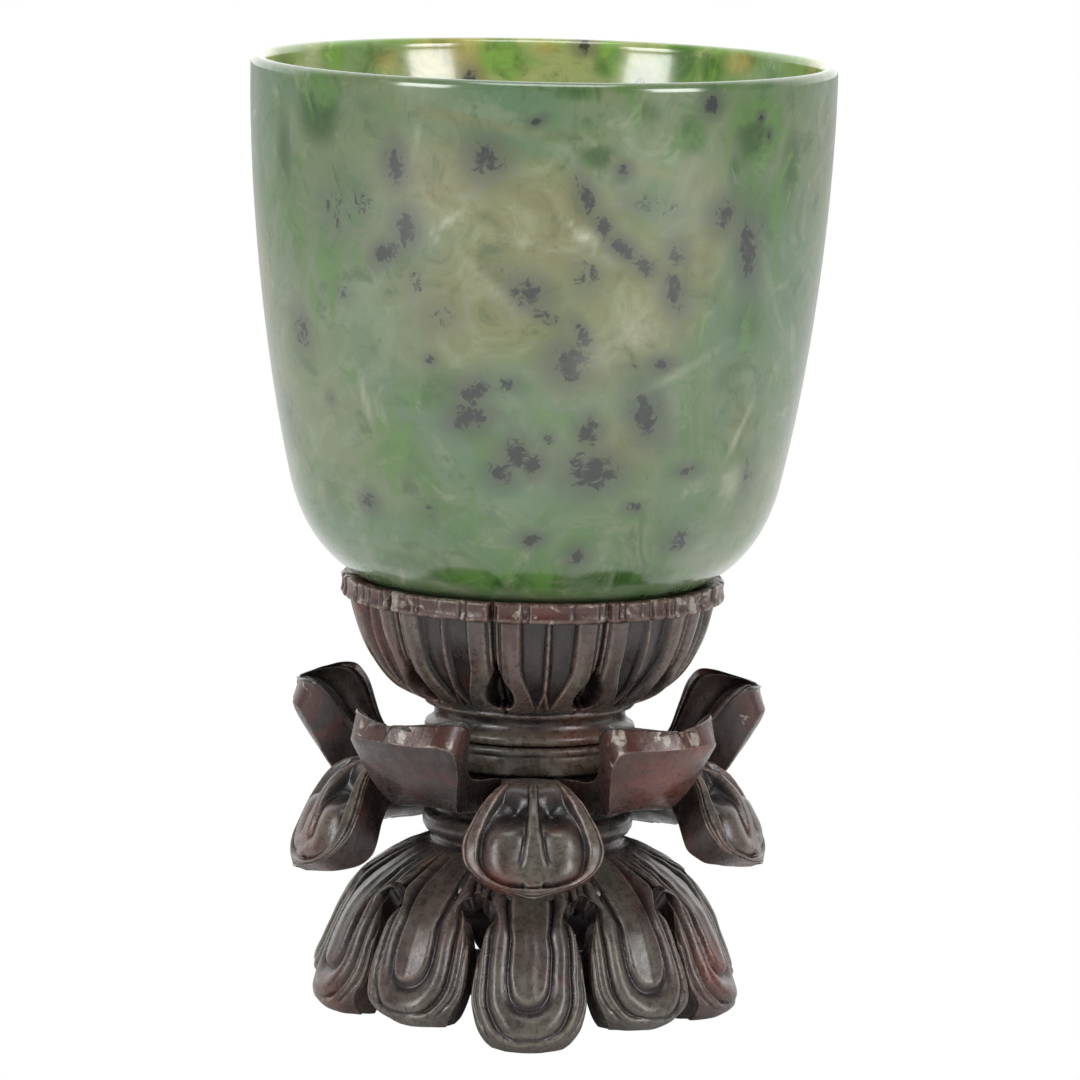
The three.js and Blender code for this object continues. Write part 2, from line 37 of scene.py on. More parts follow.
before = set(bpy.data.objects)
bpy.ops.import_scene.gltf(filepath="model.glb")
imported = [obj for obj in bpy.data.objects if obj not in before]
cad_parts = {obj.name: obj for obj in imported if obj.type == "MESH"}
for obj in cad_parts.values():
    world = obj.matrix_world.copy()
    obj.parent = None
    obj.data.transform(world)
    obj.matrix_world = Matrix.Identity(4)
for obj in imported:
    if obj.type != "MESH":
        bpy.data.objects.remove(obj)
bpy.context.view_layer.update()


def box_mm(node):
    """The lowest and highest corner of a CAD node's box, in millimetres."""
    low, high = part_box(node)
    return np.array(low) / MM, np.array(high) / MM


# Sizes that the frame gives

CUP_LOW, CUP_HIGH = box_mm("jade_cup")
DISH_LOW, DISH_HIGH = box_mm("upper_lotus_dish")
HUB_LOW, HUB_HIGH = box_mm("petal_hub")
CUP_RADIUS = CUP_HIGH[0]
CUP_BOTTOM = CUP_LOW[2]
CUP_TOP = CUP_HIGH[2]
DISH_BOTTOM = DISH_LOW[2]
DISH_LIP = DISH_HIGH[2]
HUB_BOTTOM = HUB_LOW[2]
HUB_TOP = HUB_HIGH[2]
BASE_TOP = box_mm("lotus_base")[1][2]
SEAT_GAP = HUB_BOTTOM - BASE_TOP

# Cup sizes

CUP_WALL = 1.7
CUP_LIP_THINNING = 0.9
CUP_FLOOR = 5.0
CUP_SHOULDER = (27.5, CUP_BOTTOM + 15.7)
CUP_FOOT = (13.0, CUP_BOTTOM + 1.6)
CUP_FOOT_WIDTH = 2.2

# Radius at which the turned profiles stop, just short of the axis
NEAR_AXIS = 0.4

# Stand sizes

HUB_RADIUS = 10.4
HUB_BAND_RADIUS = 11.3
HUB_BAND_HEIGHT = 3.1
HUB_FOOT_RADIUS = 11.8
HUB_FOOT_HEIGHT = 2.5
DISH_SEAT = DISH_BOTTOM + 13.3
DISH_BAND = 2.3
DISH_LIP_STEP = 1.3
DISH_NECK = (10.7, DISH_BOTTOM + 2.4)
DISH_STEM_RADIUS = 11.8
DISH_LIP_RADIUS = 21.45
DISH_PETALS = 10
DISH_TURN = math.radians(4.0)
BASE_NECK_RADIUS = 10.8
BASE_CROWN = 4.2
BASE_PETALS = 10
BASE_PETAL_DROP = 0.5
MIDDLE_PETALS = 5

# Corners (radius, height) of the ring that joins the base's petals inside
BASE_RING = ((17.6, 5.3), (19.0, 5.3), (17.8, 10.0), (16.4, 10.0))

# What differs from petal to petal, counted from the front: how far the base's petals stop above
# the floor, and how long the middle petals are from the hub's top
BASE_PETAL_RISES = (0, 1.9, 1.2, 1.9, 0, 1.9, 0, 1.9, 1.2, 1.9)
UP_PETAL_STRETCHES = (1.0, 1.09, 1.0, 1.09, 1.0)
DOWN_PETAL_STRETCHES = (1.0, 0.95, 1.0, 1.0, 1.04)

# How uneven the hand-cut wood is: the dish as a share of its radius, the petals in millimetres
DISH_UNEVENNESS = 0.006
MIDDLE_PETAL_UNEVENNESS = 0.12
BASE_PETAL_UNEVENNESS = 0.15
UNEVENNESS_LENGTH = 5.0

# The angle that faces the camera
FRONT = -math.pi / 2


# Small mathematical helpers

def mix(a, b, share):
    return a + (b - a) * share


def ramp(x, start, end):
    share = np.clip((x - start) / (end - start), 0.0, 1.0)
    return share * share * (3.0 - 2.0 * share)


def bump(x, centre, width):
    return np.exp(-((x - centre) / width) ** 2)


def bezier(points, count):
    a, b, c, d = (np.array(point, dtype=float) for point in points)
    t = np.linspace(0.0, 1.0, count)[:, None]
    return a * (1 - t) ** 3 + 3 * b * t * (1 - t) ** 2 + 3 * c * t ** 2 * (1 - t) + d * t ** 3


def spline(points, t):
    """A centripetal Catmull-Rom curve at t from 0 to 1. The points share t evenly."""
    points = np.array(points, dtype=float)
    first = 2 * points[0] - points[1]
    last = 2 * points[-1] - points[-2]
    padded = np.vstack([first, points, last])
    steps = np.sqrt(np.linalg.norm(np.diff(padded, axis=0), axis=1))
    place = np.clip(t, 0.0, 1.0) * (len(points) - 1)
    index = np.minimum(place.astype(int), len(points) - 2)
    u = (place - index)[..., None]
    p0, p1, p2, p3 = (padded[index + k] for k in range(4))
    d0, d1, d2 = (steps[index + k][..., None] for k in range(3))
    pull = ((p1 - p0) / d0 - (p2 - p0) / (d0 + d1)) * d1 + (p2 - p1)
    push = (p2 - p1) + ((p3 - p2) / d2 - (p3 - p1) / (d1 + d2)) * d1
    square = 3 * (p2 - p1) - 2 * pull - push
    cube = 2 * (p1 - p2) + pull + push
    return p1 + pull * u + square * u ** 2 + cube * u ** 3


def ripple(points, seed, scale):
    """Smooth unevenness between about -1 and 1, with features of about that many millimetres."""
    rng = np.random.default_rng(seed)
    total = np.zeros(points.shape[:-1])
    for octave in range(5):
        direction = rng.normal(size=3)
        direction *= (1.6 ** octave) * 2.0 / (scale * np.linalg.norm(direction))
        total += np.sin(points @ direction + rng.uniform(0, 2 * math.pi)) / (1.25 ** octave)
    return total / 2.6


def turned(points, angle):
    """The points turned about the upright axis."""
    c, s = math.cos(angle), math.sin(angle)
    return points @ np.array([[c, s, 0], [-s, c, 0], [0, 0, 1]])


# Mesh helpers

# Levels that stand for a surface without carving, and for a rim with pale wax and painted glints
PLAIN = 1.0
RIM_WAX_AND_GLINTS = 2.0


def curvature(vertices, faces):
    """How hollow (below 0) or sharp (above 0) the mesh is at each vertex, per millimetre."""
    mesh_edges = set()
    for face in faces:
        for a, b in zip(face, face[1:] + face[:1]):
            mesh_edges.add((min(a, b), max(a, b)))
    edges = np.array(sorted(mesh_edges))
    normals = np.zeros_like(vertices)
    for face in faces:
        a, b, c = vertices[face[0]], vertices[face[1]], vertices[face[2]]
        normals[list(face)] += np.cross(b - a, c - a)
    normals /= np.maximum(np.linalg.norm(normals, axis=1, keepdims=True), 1e-12)
    along = vertices[edges[:, 1]] - vertices[edges[:, 0]]
    length = np.maximum(np.einsum("ij,ij->i", along, along), 1e-9)
    total = np.zeros(len(vertices))
    count = np.zeros(len(vertices))
    for end, sign in ((0, -1.0), (1, 1.0)):
        bend = sign * np.einsum("ij,ij->i", along, normals[edges[:, end]]) / length
        np.add.at(total, edges[:, end], bend)
        np.add.at(count, edges[:, end], 1)
    return total / np.maximum(count, 1)


def ring_faces(rings, size):
    faces = []
    for row in range(rings - 1):
        for k in range(size):
            a = row * size + k
            b = row * size + (k + 1) % size
            faces.append((a, b, b + size, a + size))
    return faces


def skin(rings):
    """Vertices and faces of a closed skin over the rings, with a point at each end."""
    count, size = len(rings), len(rings[0])
    vertices = np.vstack([np.vstack(rings), rings[0].mean(axis=0), rings[-1].mean(axis=0)])
    faces = ring_faces(count, size)
    last = (count - 1) * size
    for k in range(size):
        following = (k + 1) % size
        faces.append((count * size, following, k))
        faces.append((count * size + 1, last + k, last + following))
    return vertices, faces


def signed_volume(vertices, faces):
    total = 0.0
    for face in faces:
        for i in range(1, len(face) - 1):
            a, b, c = vertices[face[0]], vertices[face[i]], vertices[face[i + 1]]
            total += np.dot(a, np.cross(b, c))
    return total / 6.0


def make_piece(name, shells, material, body, nodes, turn=0.0, paint=()):
    """One smooth object from (vertices, faces, level) shells in millimetres, standing for CAD nodes.

    The level tells the material how far the carving stands above the wood's surface at each
    vertex, or else PLAIN or RIM_WAX_AND_GLINTS. On the cup it is 1 inside and 0 outside. Each name and
    function in paint gives the material one more number at each vertex.
    """
    vertices, faces, bends, levels = [], [], [], []
    start = 0
    for points, loops, level in shells:
        if signed_volume(points, loops) < 0:
            loops = [loop[::-1] for loop in loops]
        bends.append(curvature(points, loops))
        levels.append(np.broadcast_to(level, len(points)))
        vertices.append(points)
        faces.extend(tuple(start + i for i in loop) for loop in loops)
        start += len(points)
    points = turned(np.vstack(vertices), turn)
    mesh = bpy.data.meshes.new(name)
    mesh.from_pydata((points * MM).tolist(), [], faces)
    mesh.shade_smooth()
    values = {"bend": np.concatenate(bends), "level": np.concatenate(levels)}
    values.update((key, measure(points)) for key, measure in paint)
    for key, numbers in values.items():
        attribute = mesh.attributes.new(key, "FLOAT", "POINT")
        attribute.data.foreach_set("value", numbers.astype(np.float32))
    mesh.materials.append(material)
    piece = bpy.data.objects.new(name, mesh)
    bpy.context.collection.objects.link(piece)
    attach(piece, body)
    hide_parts(*nodes)
    return piece


def lathe(profile, columns, shape=None):
    """Rings of a revolved profile of (radius, height); shape(angle, height, row) adds to the radius."""
    angle = np.linspace(0, 2 * math.pi, columns, endpoint=False)
    rings = []
    for row, (radius, height) in enumerate(profile):
        out = np.full(columns, radius)
        if shape is not None:
            out = out + shape(angle, height, row)
        rings.append(np.stack([out * np.cos(angle), out * np.sin(angle), np.full(columns, height)], axis=1))
    return rings


# Material helpers

class Nodes:
    """Short names for adding and joining nodes of one material."""

    def __init__(self, name):
        self.material = bpy.data.materials.new(name)
        self.material.use_nodes = True
        self.tree = self.material.node_tree
        self.shader = self.tree.nodes["Principled BSDF"]
        self.position = self.add("ShaderNodeTexCoord").outputs["Object"]

    def add(self, kind, **settings):
        node = self.tree.nodes.new(kind)
        for key, value in settings.items():
            setattr(node, key, value)
        return node

    def join(self, output, socket):
        self.tree.links.new(output, socket)

    def feed(self, socket, value):
        if isinstance(value, bpy.types.NodeSocket):
            self.join(value, socket)
        elif value is not None:
            socket.default_value = value

    def set(self, **values):
        for key, value in values.items():
            self.feed(self.shader.inputs[key.replace("_", " ")], value)

    def attribute(self, name):
        return self.add("ShaderNodeAttribute", attribute_name=name).outputs["Fac"]

    def math(self, operation, *values):
        node = self.add("ShaderNodeMath", operation=operation)
        for socket, value in zip(node.inputs, values):
            self.feed(socket, value)
        return node.outputs[0]

    def noise(self, scale, detail=4.0, roughness=0.5, distortion=0.0, stretch=(1, 1, 1), offset=(0, 0, 0)):
        mapping = self.add("ShaderNodeMapping")
        self.join(self.position, mapping.inputs["Vector"])
        mapping.inputs["Scale"].default_value = stretch
        mapping.inputs["Location"].default_value = offset
        node = self.add("ShaderNodeTexNoise")
        self.join(mapping.outputs[0], node.inputs["Vector"])
        node.inputs["Scale"].default_value = scale
        node.inputs["Detail"].default_value = detail
        node.inputs["Roughness"].default_value = roughness
        node.inputs["Distortion"].default_value = distortion
        return node.outputs["Fac"]

    def span(self, value, low, high, to_low=0.0, to_high=1.0):
        node = self.add("ShaderNodeMapRange", interpolation_type="SMOOTHSTEP")
        self.feed(node.inputs["Value"], value)
        for key, number in zip(("From Min", "From Max", "To Min", "To Max"), (low, high, to_low, to_high)):
            node.inputs[key].default_value = number
        return node.outputs[0]

    def blend(self, share, a, b, kind="MIX"):
        node = self.add("ShaderNodeMix", data_type="RGBA", blend_type=kind, clamp_factor=True)
        self.feed(node.inputs[0], share)
        for socket, value in ((node.inputs[6], a), (node.inputs[7], b)):
            self.feed(socket, (*value, 1.0) if isinstance(value, tuple) and len(value) == 3 else value)
        return node.outputs[2]

    def bump(self, height, strength, distance):
        node = self.add("ShaderNodeBump")
        node.inputs["Strength"].default_value = strength
        node.inputs["Distance"].default_value = distance
        self.join(height, node.inputs["Height"])
        self.join(node.outputs[0], self.shader.inputs["Normal"])


# Jade

# Marks in the stone: degrees from the front, height above the foot, half width, half height,
# lean in degrees and strength
OLIVE_CLOUDS = [
    (-19, 50, 9, 6, 10, 1.0), (0, 46, 11, 8, -15, 1.0), (18, 38, 9, 10, -30, 0.9), (-14, 38, 12, 9, 0, 0.9),
    (17, 22, 7, 5, 0, 0.7), (-12, 57, 13, 1.2, -8, 0.7), (14, 53, 9, 1.0, -14, 0.7), (31, 43, 6, 8, 0, 0.7),
    (-35, 45, 4, 7, 0, 0.5), (-30, 33, 6, 5, 0, 0.5), (48, 24, 3, 6, 20, 0.5), (8, 31, 8, 5, 0, 0.7),
    (30, 50, 5, 4, 0, 0.6), (-30, 50, 5, 4, 0, 0.6), (-3, 21, 5, 4, 0, 0.5), (100, 59, 4, 3, 0, 0.9),
    (132, 60, 3, 1.5, 0, 0.9), (-146, 59, 3, 2, 0, 0.8), (178, 60.5, 2, 1, 0, 0.8), (-95, 59, 4, 3, 0, 0.8),
]
VIVID_PATCHES = [
    (-50, 57, 4.2, 4.6, 0, 1.0), (-62, 52, 2.5, 7, 0, 0.8), (9, 53.8, 2.6, 1.6, 0, 1.0),
    (28, 56, 2.0, 2.6, 20, 0.9), (44, 56, 4.6, 4.4, 0, 1.0), (55, 52, 2.5, 6, 0, 0.8),
    (-48, 41, 2.2, 4, 0, 0.9), (45, 35, 4.5, 4, 0, 0.7), (41, 29, 3.5, 3, 0, 0.6),
    (-23, 28, 4.5, 3, 30, 0.7), (18, 58.5, 3, 2, 0, 0.7), (5, 60.5, 2.5, 1.2, 0, 0.8),
    (-7, 6.5, 12, 1.6, 0, 0.9), (25, 7, 9, 1.6, 0, 0.9), (-38, 8, 7, 2, 0, 0.7),
    (-58, 44, 3, 9, 0, 0.6), (38, 52, 1.2, 3, 10, 0.8), (50, 47, 1.4, 5, 0, 0.7),
    (-38, 58, 3, 1.5, 0, 0.5), (-55, 15, 4, 5, 0, 0.6), (-30, 20, 5, 4, 20, 0.5),
    (52, 12, 4, 5, 0, 0.5), (-64, 34, 3, 6, 0, 0.5), (30, 13, 5, 3, 0, 0.4),
    (-172, 60, 3, 2.5, 0, 0.9), (165, 59.5, 2, 3, 0, 0.9), (140, 59, 2.5, 3, 0, 0.8),
    (-110, 59, 4, 3, 0, 0.9), (120, 58.5, 3, 3, 0, 0.8), (-130, 60, 2.5, 2, 0, 0.8),
]
DARK_MARKS = [
    (-30.6, 52, 1.2, 2.2, 10, 1), (-12.5, 53.3, 2, 2.1, 35, 0.9), (-2.8, 57.5, 0.9, 0.5, 20, 1),
    (31.8, 59.2, 1, 1.2, 0, 1), (44.5, 57.7, 0.5, 0.5, 0, 1), (47.1, 55.6, 0.4, 0.7, 0, 1),
    (14, 52.3, 0.8, 0.9, 0, 0.9), (-28.6, 45.4, 1.4, 2.2, 0, 1), (-33.2, 42.5, 1.7, 1.2, 30, 1),
    (-45.1, 46.7, 3.4, 4.2, 0, 0.5), (-38.4, 47.2, 2.6, 3.1, 0, 0.5), (-26.6, 40, 1.2, 2.5, 0, 0.55),
    (7, 49.3, 1, 2.3, 20, 0.9), (10.4, 46.2, 1, 1.8, 30, 0.9), (14.7, 43.8, 2, 1, -40, 1),
    (19, 42, 1.7, 1, -35, 0.9), (25.8, 39.2, 1.2, 2.6, 15, 0.9), (18.7, 48.8, 2.3, 1.7, 0, 0.6),
    (24, 48.1, 1.7, 1.6, 0, 0.5), (25.9, 43.3, 1.3, 1.6, 0, 0.8), (36.5, 47.2, 1.8, 1.8, 30, 0.9),
    (43.4, 43.2, 1.4, 3.9, 12, 1), (47, 46, 1.2, 2.6, 10, 0.6), (7.4, 41.1, 1.7, 2.3, 0, 0.6),
    (-3.7, 38.9, 2.1, 1.7, -20, 0.9), (-8, 41.2, 2.1, 1.6, 0, 0.5), (-0.4, 36.5, 2.6, 0.9, -25, 0.7),
    (7.3, 34.5, 0.7, 2.1, 35, 0.9), (4.9, 31.5, 2.1, 2.3, -30, 0.95), (-22.1, 36.1, 2.2, 2, 0, 0.55),
    (-44.5, 37.8, 1.3, 1.2, 0, 0.6), (-59.3, 32.5, 1.7, 2.5, 0, 0.8), (24.5, 31.1, 1.4, 0.8, 0, 0.9),
    (18.1, 31, 1.7, 0.5, 0, 0.6), (-15, 28, 2.1, 1.4, 20, 0.9), (-7.9, 28.9, 1.7, 1, 0, 0.7),
    (-15.9, 25.3, 2.1, 1.6, 10, 1), (21.9, 25.7, 1.6, 3.1, 20, 0.95), (9.6, 23.7, 1.3, 1.8, 0, 0.9),
    (0.9, 23.1, 1, 0.9, 0, 0.7), (-5.7, 21.2, 1.6, 2, 0, 0.9), (-2.4, 20.2, 1.3, 1.3, 0, 1),
    (-9.1, 19, 1.6, 1.3, 0, 0.9), (10.8, 19.4, 2.9, 2.3, 0, 0.95), (21.2, 15.3, 1.2, 0.8, 0, 0.8),
    (33.9, 19.2, 1.8, 0.8, 0, 0.7), (54.1, 18, 1.6, 2.9, 10, 0.6), (-43, 14.6, 1.2, 1.2, 0, 0.9),
    (-51.1, 25.7, 0.7, 0.7, 0, 0.7), (-26.2, 14.4, 1.6, 1.3, 0, 0.5), (-2.1, 11.7, 1.2, 0.8, 0, 0.9),
    (9, 9.8, 1, 1.2, 0, 0.85), (35.5, 11.2, 2, 1.6, 0, 0.7), (-24.1, 31.2, 0.7, 0.7, 0, 0.8),
    (-71.6, 22.4, 2.1, 2.6, 0, 0.5), (170, 61, 1, 1, 0, 1), (-165, 57, 1.2, 1.3, 0, 0.9),
]
PALE_VEINS = [
    (-26.3, 54.9, 0.22, 1.7, -8, 0.5), (-20.0, 46.3, 1.6, 0.3, 40, 0.6), (-22.5, 44.8, 0.3, 1.2, 30, 0.5),
    (6.5, 45.2, 1.3, 0.6, -15, 1.0), (5.0, 46.0, 1.8, 0.25, -35, 0.8), (8.4, 44.8, 0.3, 1.2, 20, 0.7),
    (-40.6, 26.3, 0.35, 2.4, 12, 0.6), (48.2, 23.2, 0.4, 2.6, -25, 0.7), (48.5, 17.2, 1.4, 1.6, 0, 0.5),
    (19.0, 35.1, 2.6, 1.9, 0, 0.45), (12.0, 33.0, 3.4, 2.0, 30, 0.3), (0, 44, 7.0, 0.5, -12, 0.3),
    (-12, 40, 0.5, 5.0, 45, 0.3), (30, 30.5, 5.0, 0.5, 25, 0.3),
]


def scattered(seed, count, wide, tall):
    """Marks like those in front for the side that faces away."""
    rng = np.random.default_rng(seed)
    marks = []
    for _ in range(count):
        degrees, up = rng.uniform(80, 280), rng.uniform(8, 60)
        size = rng.uniform(0.5, 1.0, 2) * (wide, tall)
        marks.append((degrees, up, *size, rng.uniform(-40, 40), 0.9))
    return marks


def stone_marks(points, marks):
    """How strongly each point shows the marks, from 0 to 1."""
    angle = np.arctan2(points[:, 0], -points[:, 1])
    radius = np.hypot(points[:, 0], points[:, 1])
    total = np.zeros(len(points))
    for degrees, up, wide, tall, lean, strength in marks:
        turn = (angle - math.radians(degrees) + math.pi) % (2 * math.pi) - math.pi
        side, rise = turn * radius, points[:, 2] - CUP_BOTTOM - up
        c, s = math.cos(math.radians(lean)), math.sin(math.radians(lean))
        spread = ((c * side + s * rise) / wide) ** 2 + ((c * rise - s * side) / tall) ** 2
        total = np.maximum(total, strength * np.exp(-spread))
    return total


def jade_material():
    """Green nephrite: sage ground, an olive cloud, vivid green patches, dark specks and pale veins."""
    n = Nodes("jade")
    marks = ("olive", "vivid", "haze", "dark", "pale")
    olive, vivid, haze, dark, pale = (n.attribute(name) for name in marks)
    inside = n.attribute("level")
    drift = n.noise(65, 5, 0.6, 1.4, offset=(1.3, 0.4, 0.7))
    cloud = n.noise(36, 3, 0.55, 0.6, offset=(0.3, 0.1, 0.2))
    wisp = n.noise(150, 7, 0.66, 1.3, offset=(0.9, 2.4, 1.7))
    fleck = n.noise(900, 4, 0.65, 1.0, offset=(2.1, 0.9, 1.4))
    green = n.noise(190, 5, 0.62, 0.9, stretch=(1, 1, 0.6), offset=(5.0, 1.0, 3.0))

    def ragged(share, noise, amount, low, high):
        """A mark's share with its edge broken up by noise."""
        return n.span(n.math("ADD", share, n.math("MULTIPLY_ADD", noise, amount, -0.5 * amount)), low, high)

    # Sage ground with deeper and paler drifts
    colour = n.blend(n.span(cloud, 0.36, 0.62), (0.08, 0.145, 0.075), (0.13, 0.165, 0.082))
    colour = n.blend(n.span(drift, 0.5, 0.64, 0, 0.85), colour, (0.062, 0.135, 0.035))
    colour = n.blend(n.span(drift, 0.46, 0.34, 0, 0.6), colour, (0.16, 0.205, 0.125))
    colour = n.blend(n.span(green, 0.55, 0.68, 0, 0.55), colour, (0.07, 0.15, 0.03))
    colour = n.blend(n.span(green, 0.44, 0.32, 0, 0.3), colour, (0.045, 0.09, 0.045))

    # Olive clouds, vivid patches, and pale and dark wisps over both
    warm = n.blend(n.span(wisp, 0.4, 0.62), (0.135, 0.13, 0.047), (0.18, 0.182, 0.08))
    colour = n.blend(n.math("MULTIPLY", ragged(olive, drift, 0.8, 0.15, 0.9), 0.9), colour, warm)
    leaf = n.blend(n.span(green, 0.42, 0.62), (0.016, 0.06, 0.006), (0.075, 0.165, 0.036))
    colour = n.blend(n.math("MULTIPLY", ragged(vivid, green, 1.1, 0.22, 0.8), 0.85), colour, leaf)
    colour = n.blend(n.span(wisp, 0.53, 0.72, 0, 0.55), colour, (0.24, 0.265, 0.17))
    colour = n.blend(n.span(wisp, 0.47, 0.3, 0, 0.75), colour, (0.045, 0.08, 0.026))

    # Dark marks in their haze, then the pale veins
    smoke = n.math("MULTIPLY", ragged(haze, wisp, 1.1, 0.12, 0.95), 0.72)
    colour = n.blend(smoke, colour, (0.05, 0.058, 0.044))
    speck = n.math("ADD", n.math("MULTIPLY", dark, 0.46), n.math("MULTIPLY", fleck, 0.85))
    colour = n.blend(n.span(speck, 0.63, 0.77, 0, 0.95), colour, (0.016, 0.02, 0.018))
    vein = n.math("MULTIPLY", pale, n.span(wisp, 0.3, 0.65, 0.5, 1.0))
    colour = n.blend(vein, colour, (0.4, 0.41, 0.3))

    # The inside is brighter, because light comes through the wall
    colour = n.blend(n.math("MULTIPLY", inside, 0.95), colour, (2.6, 2.3, 1.7), "MULTIPLY")

    n.set(Base_Color=colour, Roughness=0.17, IOR=1.61)
    n.set(Coat_Weight=0.3, Coat_Roughness=0.05)
    n.set(Subsurface_Weight=0.25, Subsurface_Radius=(0.8, 1.0, 0.6), Subsurface_Scale=0.0015)
    return n.material


# Wood

# Red-brown stains on the stand, as a place, a radius and a strength
STAINS = [
    (-22.3, -8, 20.5, 3.0, 1.0), (15, -20, 30, 6.0, 0.55), (19, -21, 33, 3.0, 0.7),
    (21, 7, 34, 3.5, 0.9), (22, -8, 20, 2.6, 0.9), (-3.1, -24, 28, 1.2, 1.0),
    (2.4, -25, 26.3, 1.1, 0.9), (6, -10, 33, 4.0, 0.6), (-11, -4, 38, 4.0, 0.8),
    (20, -9, 7, 3.0, 1.0), (-21, -8, 3, 3.0, 0.6), (-21, -5, 49, 4.0, 1.0),
    (-17, -8, 43, 5.0, 0.5), (0.6, -21, 48.5, 1.6, 1.0), (-11.5, -19, 33, 2.6, 0.8),
    (-4, -25, 19, 2.0, 0.7), (5, -25, 19, 2.2, 0.6), (8, 21, 33, 4.0, 0.8),
    (-10, 22, 8, 4.0, 0.8), (0, 22, 40, 5.0, 0.5),
]


def stain_share(points):
    """How strongly each point of the stand is stained, from 0 to 1."""
    total = np.zeros(len(points))
    for x, y, z, radius, strength in STAINS:
        distance = np.linalg.norm(points - np.array([x, y, z]), axis=1)
        total = np.maximum(total, strength * np.exp(-(distance / radius) ** 2))
    return total


WORN = (("stain", stain_share),)


def wood_material(name="dark_wood", lift=1.0):
    """Near-black carved wood: rubbed dusty relief, red-brown stains, waxy rims with painted glints, painted
    shade in the hollows and a painted highlight on the ridges.
    """
    n = Nodes(name)
    bend, level, red = (n.attribute(key) for key in ("bend", "level", "stain"))
    grain = n.noise(900, 4, 0.6, 0.3, stretch=(1, 1, 0.4))
    cloud = n.noise(170, 4, 0.6, 0.5, offset=(3.0, 1.0, 2.0))
    tint = n.noise(80, 3, 0.5, 0.6, offset=(1.0, 6.0, 4.0))
    stain = n.noise(110, 4, 0.6, 0.8, offset=(7.0, 5.0, 1.0))
    worn = n.noise(1300, 5, 0.7, 0.6)
    block = n.noise(420, 3, 0.6, 0.8, offset=(2.0, 8.0, 3.0))

    # Dark wood with brown grain and reddish clouds
    dark = tuple(lift * v for v in (0.018, 0.014, 0.013))
    brown = tuple(lift * v for v in (0.05, 0.036, 0.032))
    colour = n.blend(n.span(grain, 0.35, 0.7, 0.1, 0.8), dark, brown)
    colour = n.blend(n.span(stain, 0.56, 0.72, 0, 0.7), colour, (0.075, 0.02, 0.016))

    # Dusty rubbed tops of the carving
    carved = n.math("MULTIPLY", n.span(level, -0.6, -0.1), n.span(level, 0.5, 0.9, 1, 0))
    rubbed = n.blend(n.span(tint, 0.42, 0.58), (0.098, 0.09, 0.07), (0.1, 0.067, 0.057))
    share = n.math("MULTIPLY", carved, n.span(cloud, 0.32, 0.6, 0.25, 0.9))
    colour = n.blend(n.math("MULTIPLY", share, n.span(worn, 0.3, 0.6, 0.35, 1.0)), colour, rubbed)

    # Red-brown stains
    redder = n.math("MULTIPLY", red, n.span(stain, 0.3, 0.55, 0.35, 1.0))
    bare = n.blend(n.span(worn, 0.4, 0.6), (0.12, 0.02, 0.012), (0.2, 0.05, 0.03))
    colour = n.blend(redder, colour, bare)

    # Rims with blocks of pale wax that are partly painted glints
    wax_and_glint_rim = n.span(level, 1.4, 1.8)
    colour = n.blend(n.math("MULTIPLY", wax_and_glint_rim, 0.8), colour, (0.055, 0.018, 0.014))
    # Pale blocks on the rims: partly wax, partly a painted highlight
    pale_wax_and_glints = n.math("MULTIPLY", wax_and_glint_rim, n.span(block, 0.55, 0.62))
    colour = n.blend(n.math("MULTIPLY", pale_wax_and_glints, n.span(worn, 0.35, 0.6, 0.3, 1.0)), colour, (0.3, 0.27, 0.225))

    # Painted shade in hollows and grooves, ridges lighter from rubbing and a painted highlight, and worn
    # edges
    # Painted shade: deep carved hollows darkened to near black
    colour = n.blend(n.span(level, -0.5, -1.7, 0, 0.85), colour, (0.009, 0.007, 0.007))
    # Painted shade: concave creases darkened, less where the cloud noise is high
    groove = n.math("MULTIPLY", n.span(bend, -0.03, -0.3), n.span(cloud, 0.35, 0.65, 1.0, 0.5))
    colour = n.blend(n.math("MULTIPLY", groove, 0.9), colour, (0.006, 0.005, 0.005))
    # Ridges painted lighter: partly rubbed wear, partly a painted highlight
    ridge = n.math("MULTIPLY", n.span(bend, 0.12, 0.5), n.span(worn, 0.35, 0.65, 0.15, 1.0))
    colour = n.blend(n.math("MULTIPLY", ridge, 0.4), colour, (0.2, 0.17, 0.135))
    edge = n.math("MULTIPLY", n.span(bend, 0.6, 1.6), n.span(cloud, 0.4, 0.6))
    edge = n.math("MULTIPLY", edge, n.span(worn, 0.4, 0.6, 0.2, 1.0))
    colour = n.blend(n.math("MULTIPLY", edge, 0.7), colour, (0.36, 0.19, 0.14))

    n.set(Base_Color=colour, Roughness=n.span(worn, 0.3, 0.75, 0.22, 0.42))
    n.bump(n.math("ADD", n.math("MULTIPLY", grain, 0.5), n.math("MULTIPLY", worn, 0.6)), 0.3, 0.0002)
    return n.material


# The cup

def cup_side(count):
    """The cup's outer side from foot to lip, as (radius, height)."""
    foot_radius, foot = CUP_FOOT
    turn_radius, turn = CUP_SHOULDER
    bowl, wall = turn - foot, CUP_TOP - turn
    lower = bezier([
        (foot_radius, foot),
        (mix(foot_radius, turn_radius, 0.68), foot + 0.14 * bowl),
        (mix(foot_radius, turn_radius, 0.91), foot + 0.55 * bowl),
        (turn_radius, turn),
    ], count)
    upper = bezier([
        (turn_radius, turn),
        (mix(turn_radius, CUP_RADIUS, 0.59), turn + 0.28 * wall),
        (CUP_RADIUS, turn + 0.67 * wall),
        (CUP_RADIUS, CUP_TOP - CUP_WALL / 2),
    ], count)
    return np.vstack([lower, upper[1:]])


def cup_radius(height):
    """The cup's outer radius at a height."""
    side = cup_side(80)
    return np.interp(height, side[:, 1], side[:, 0])


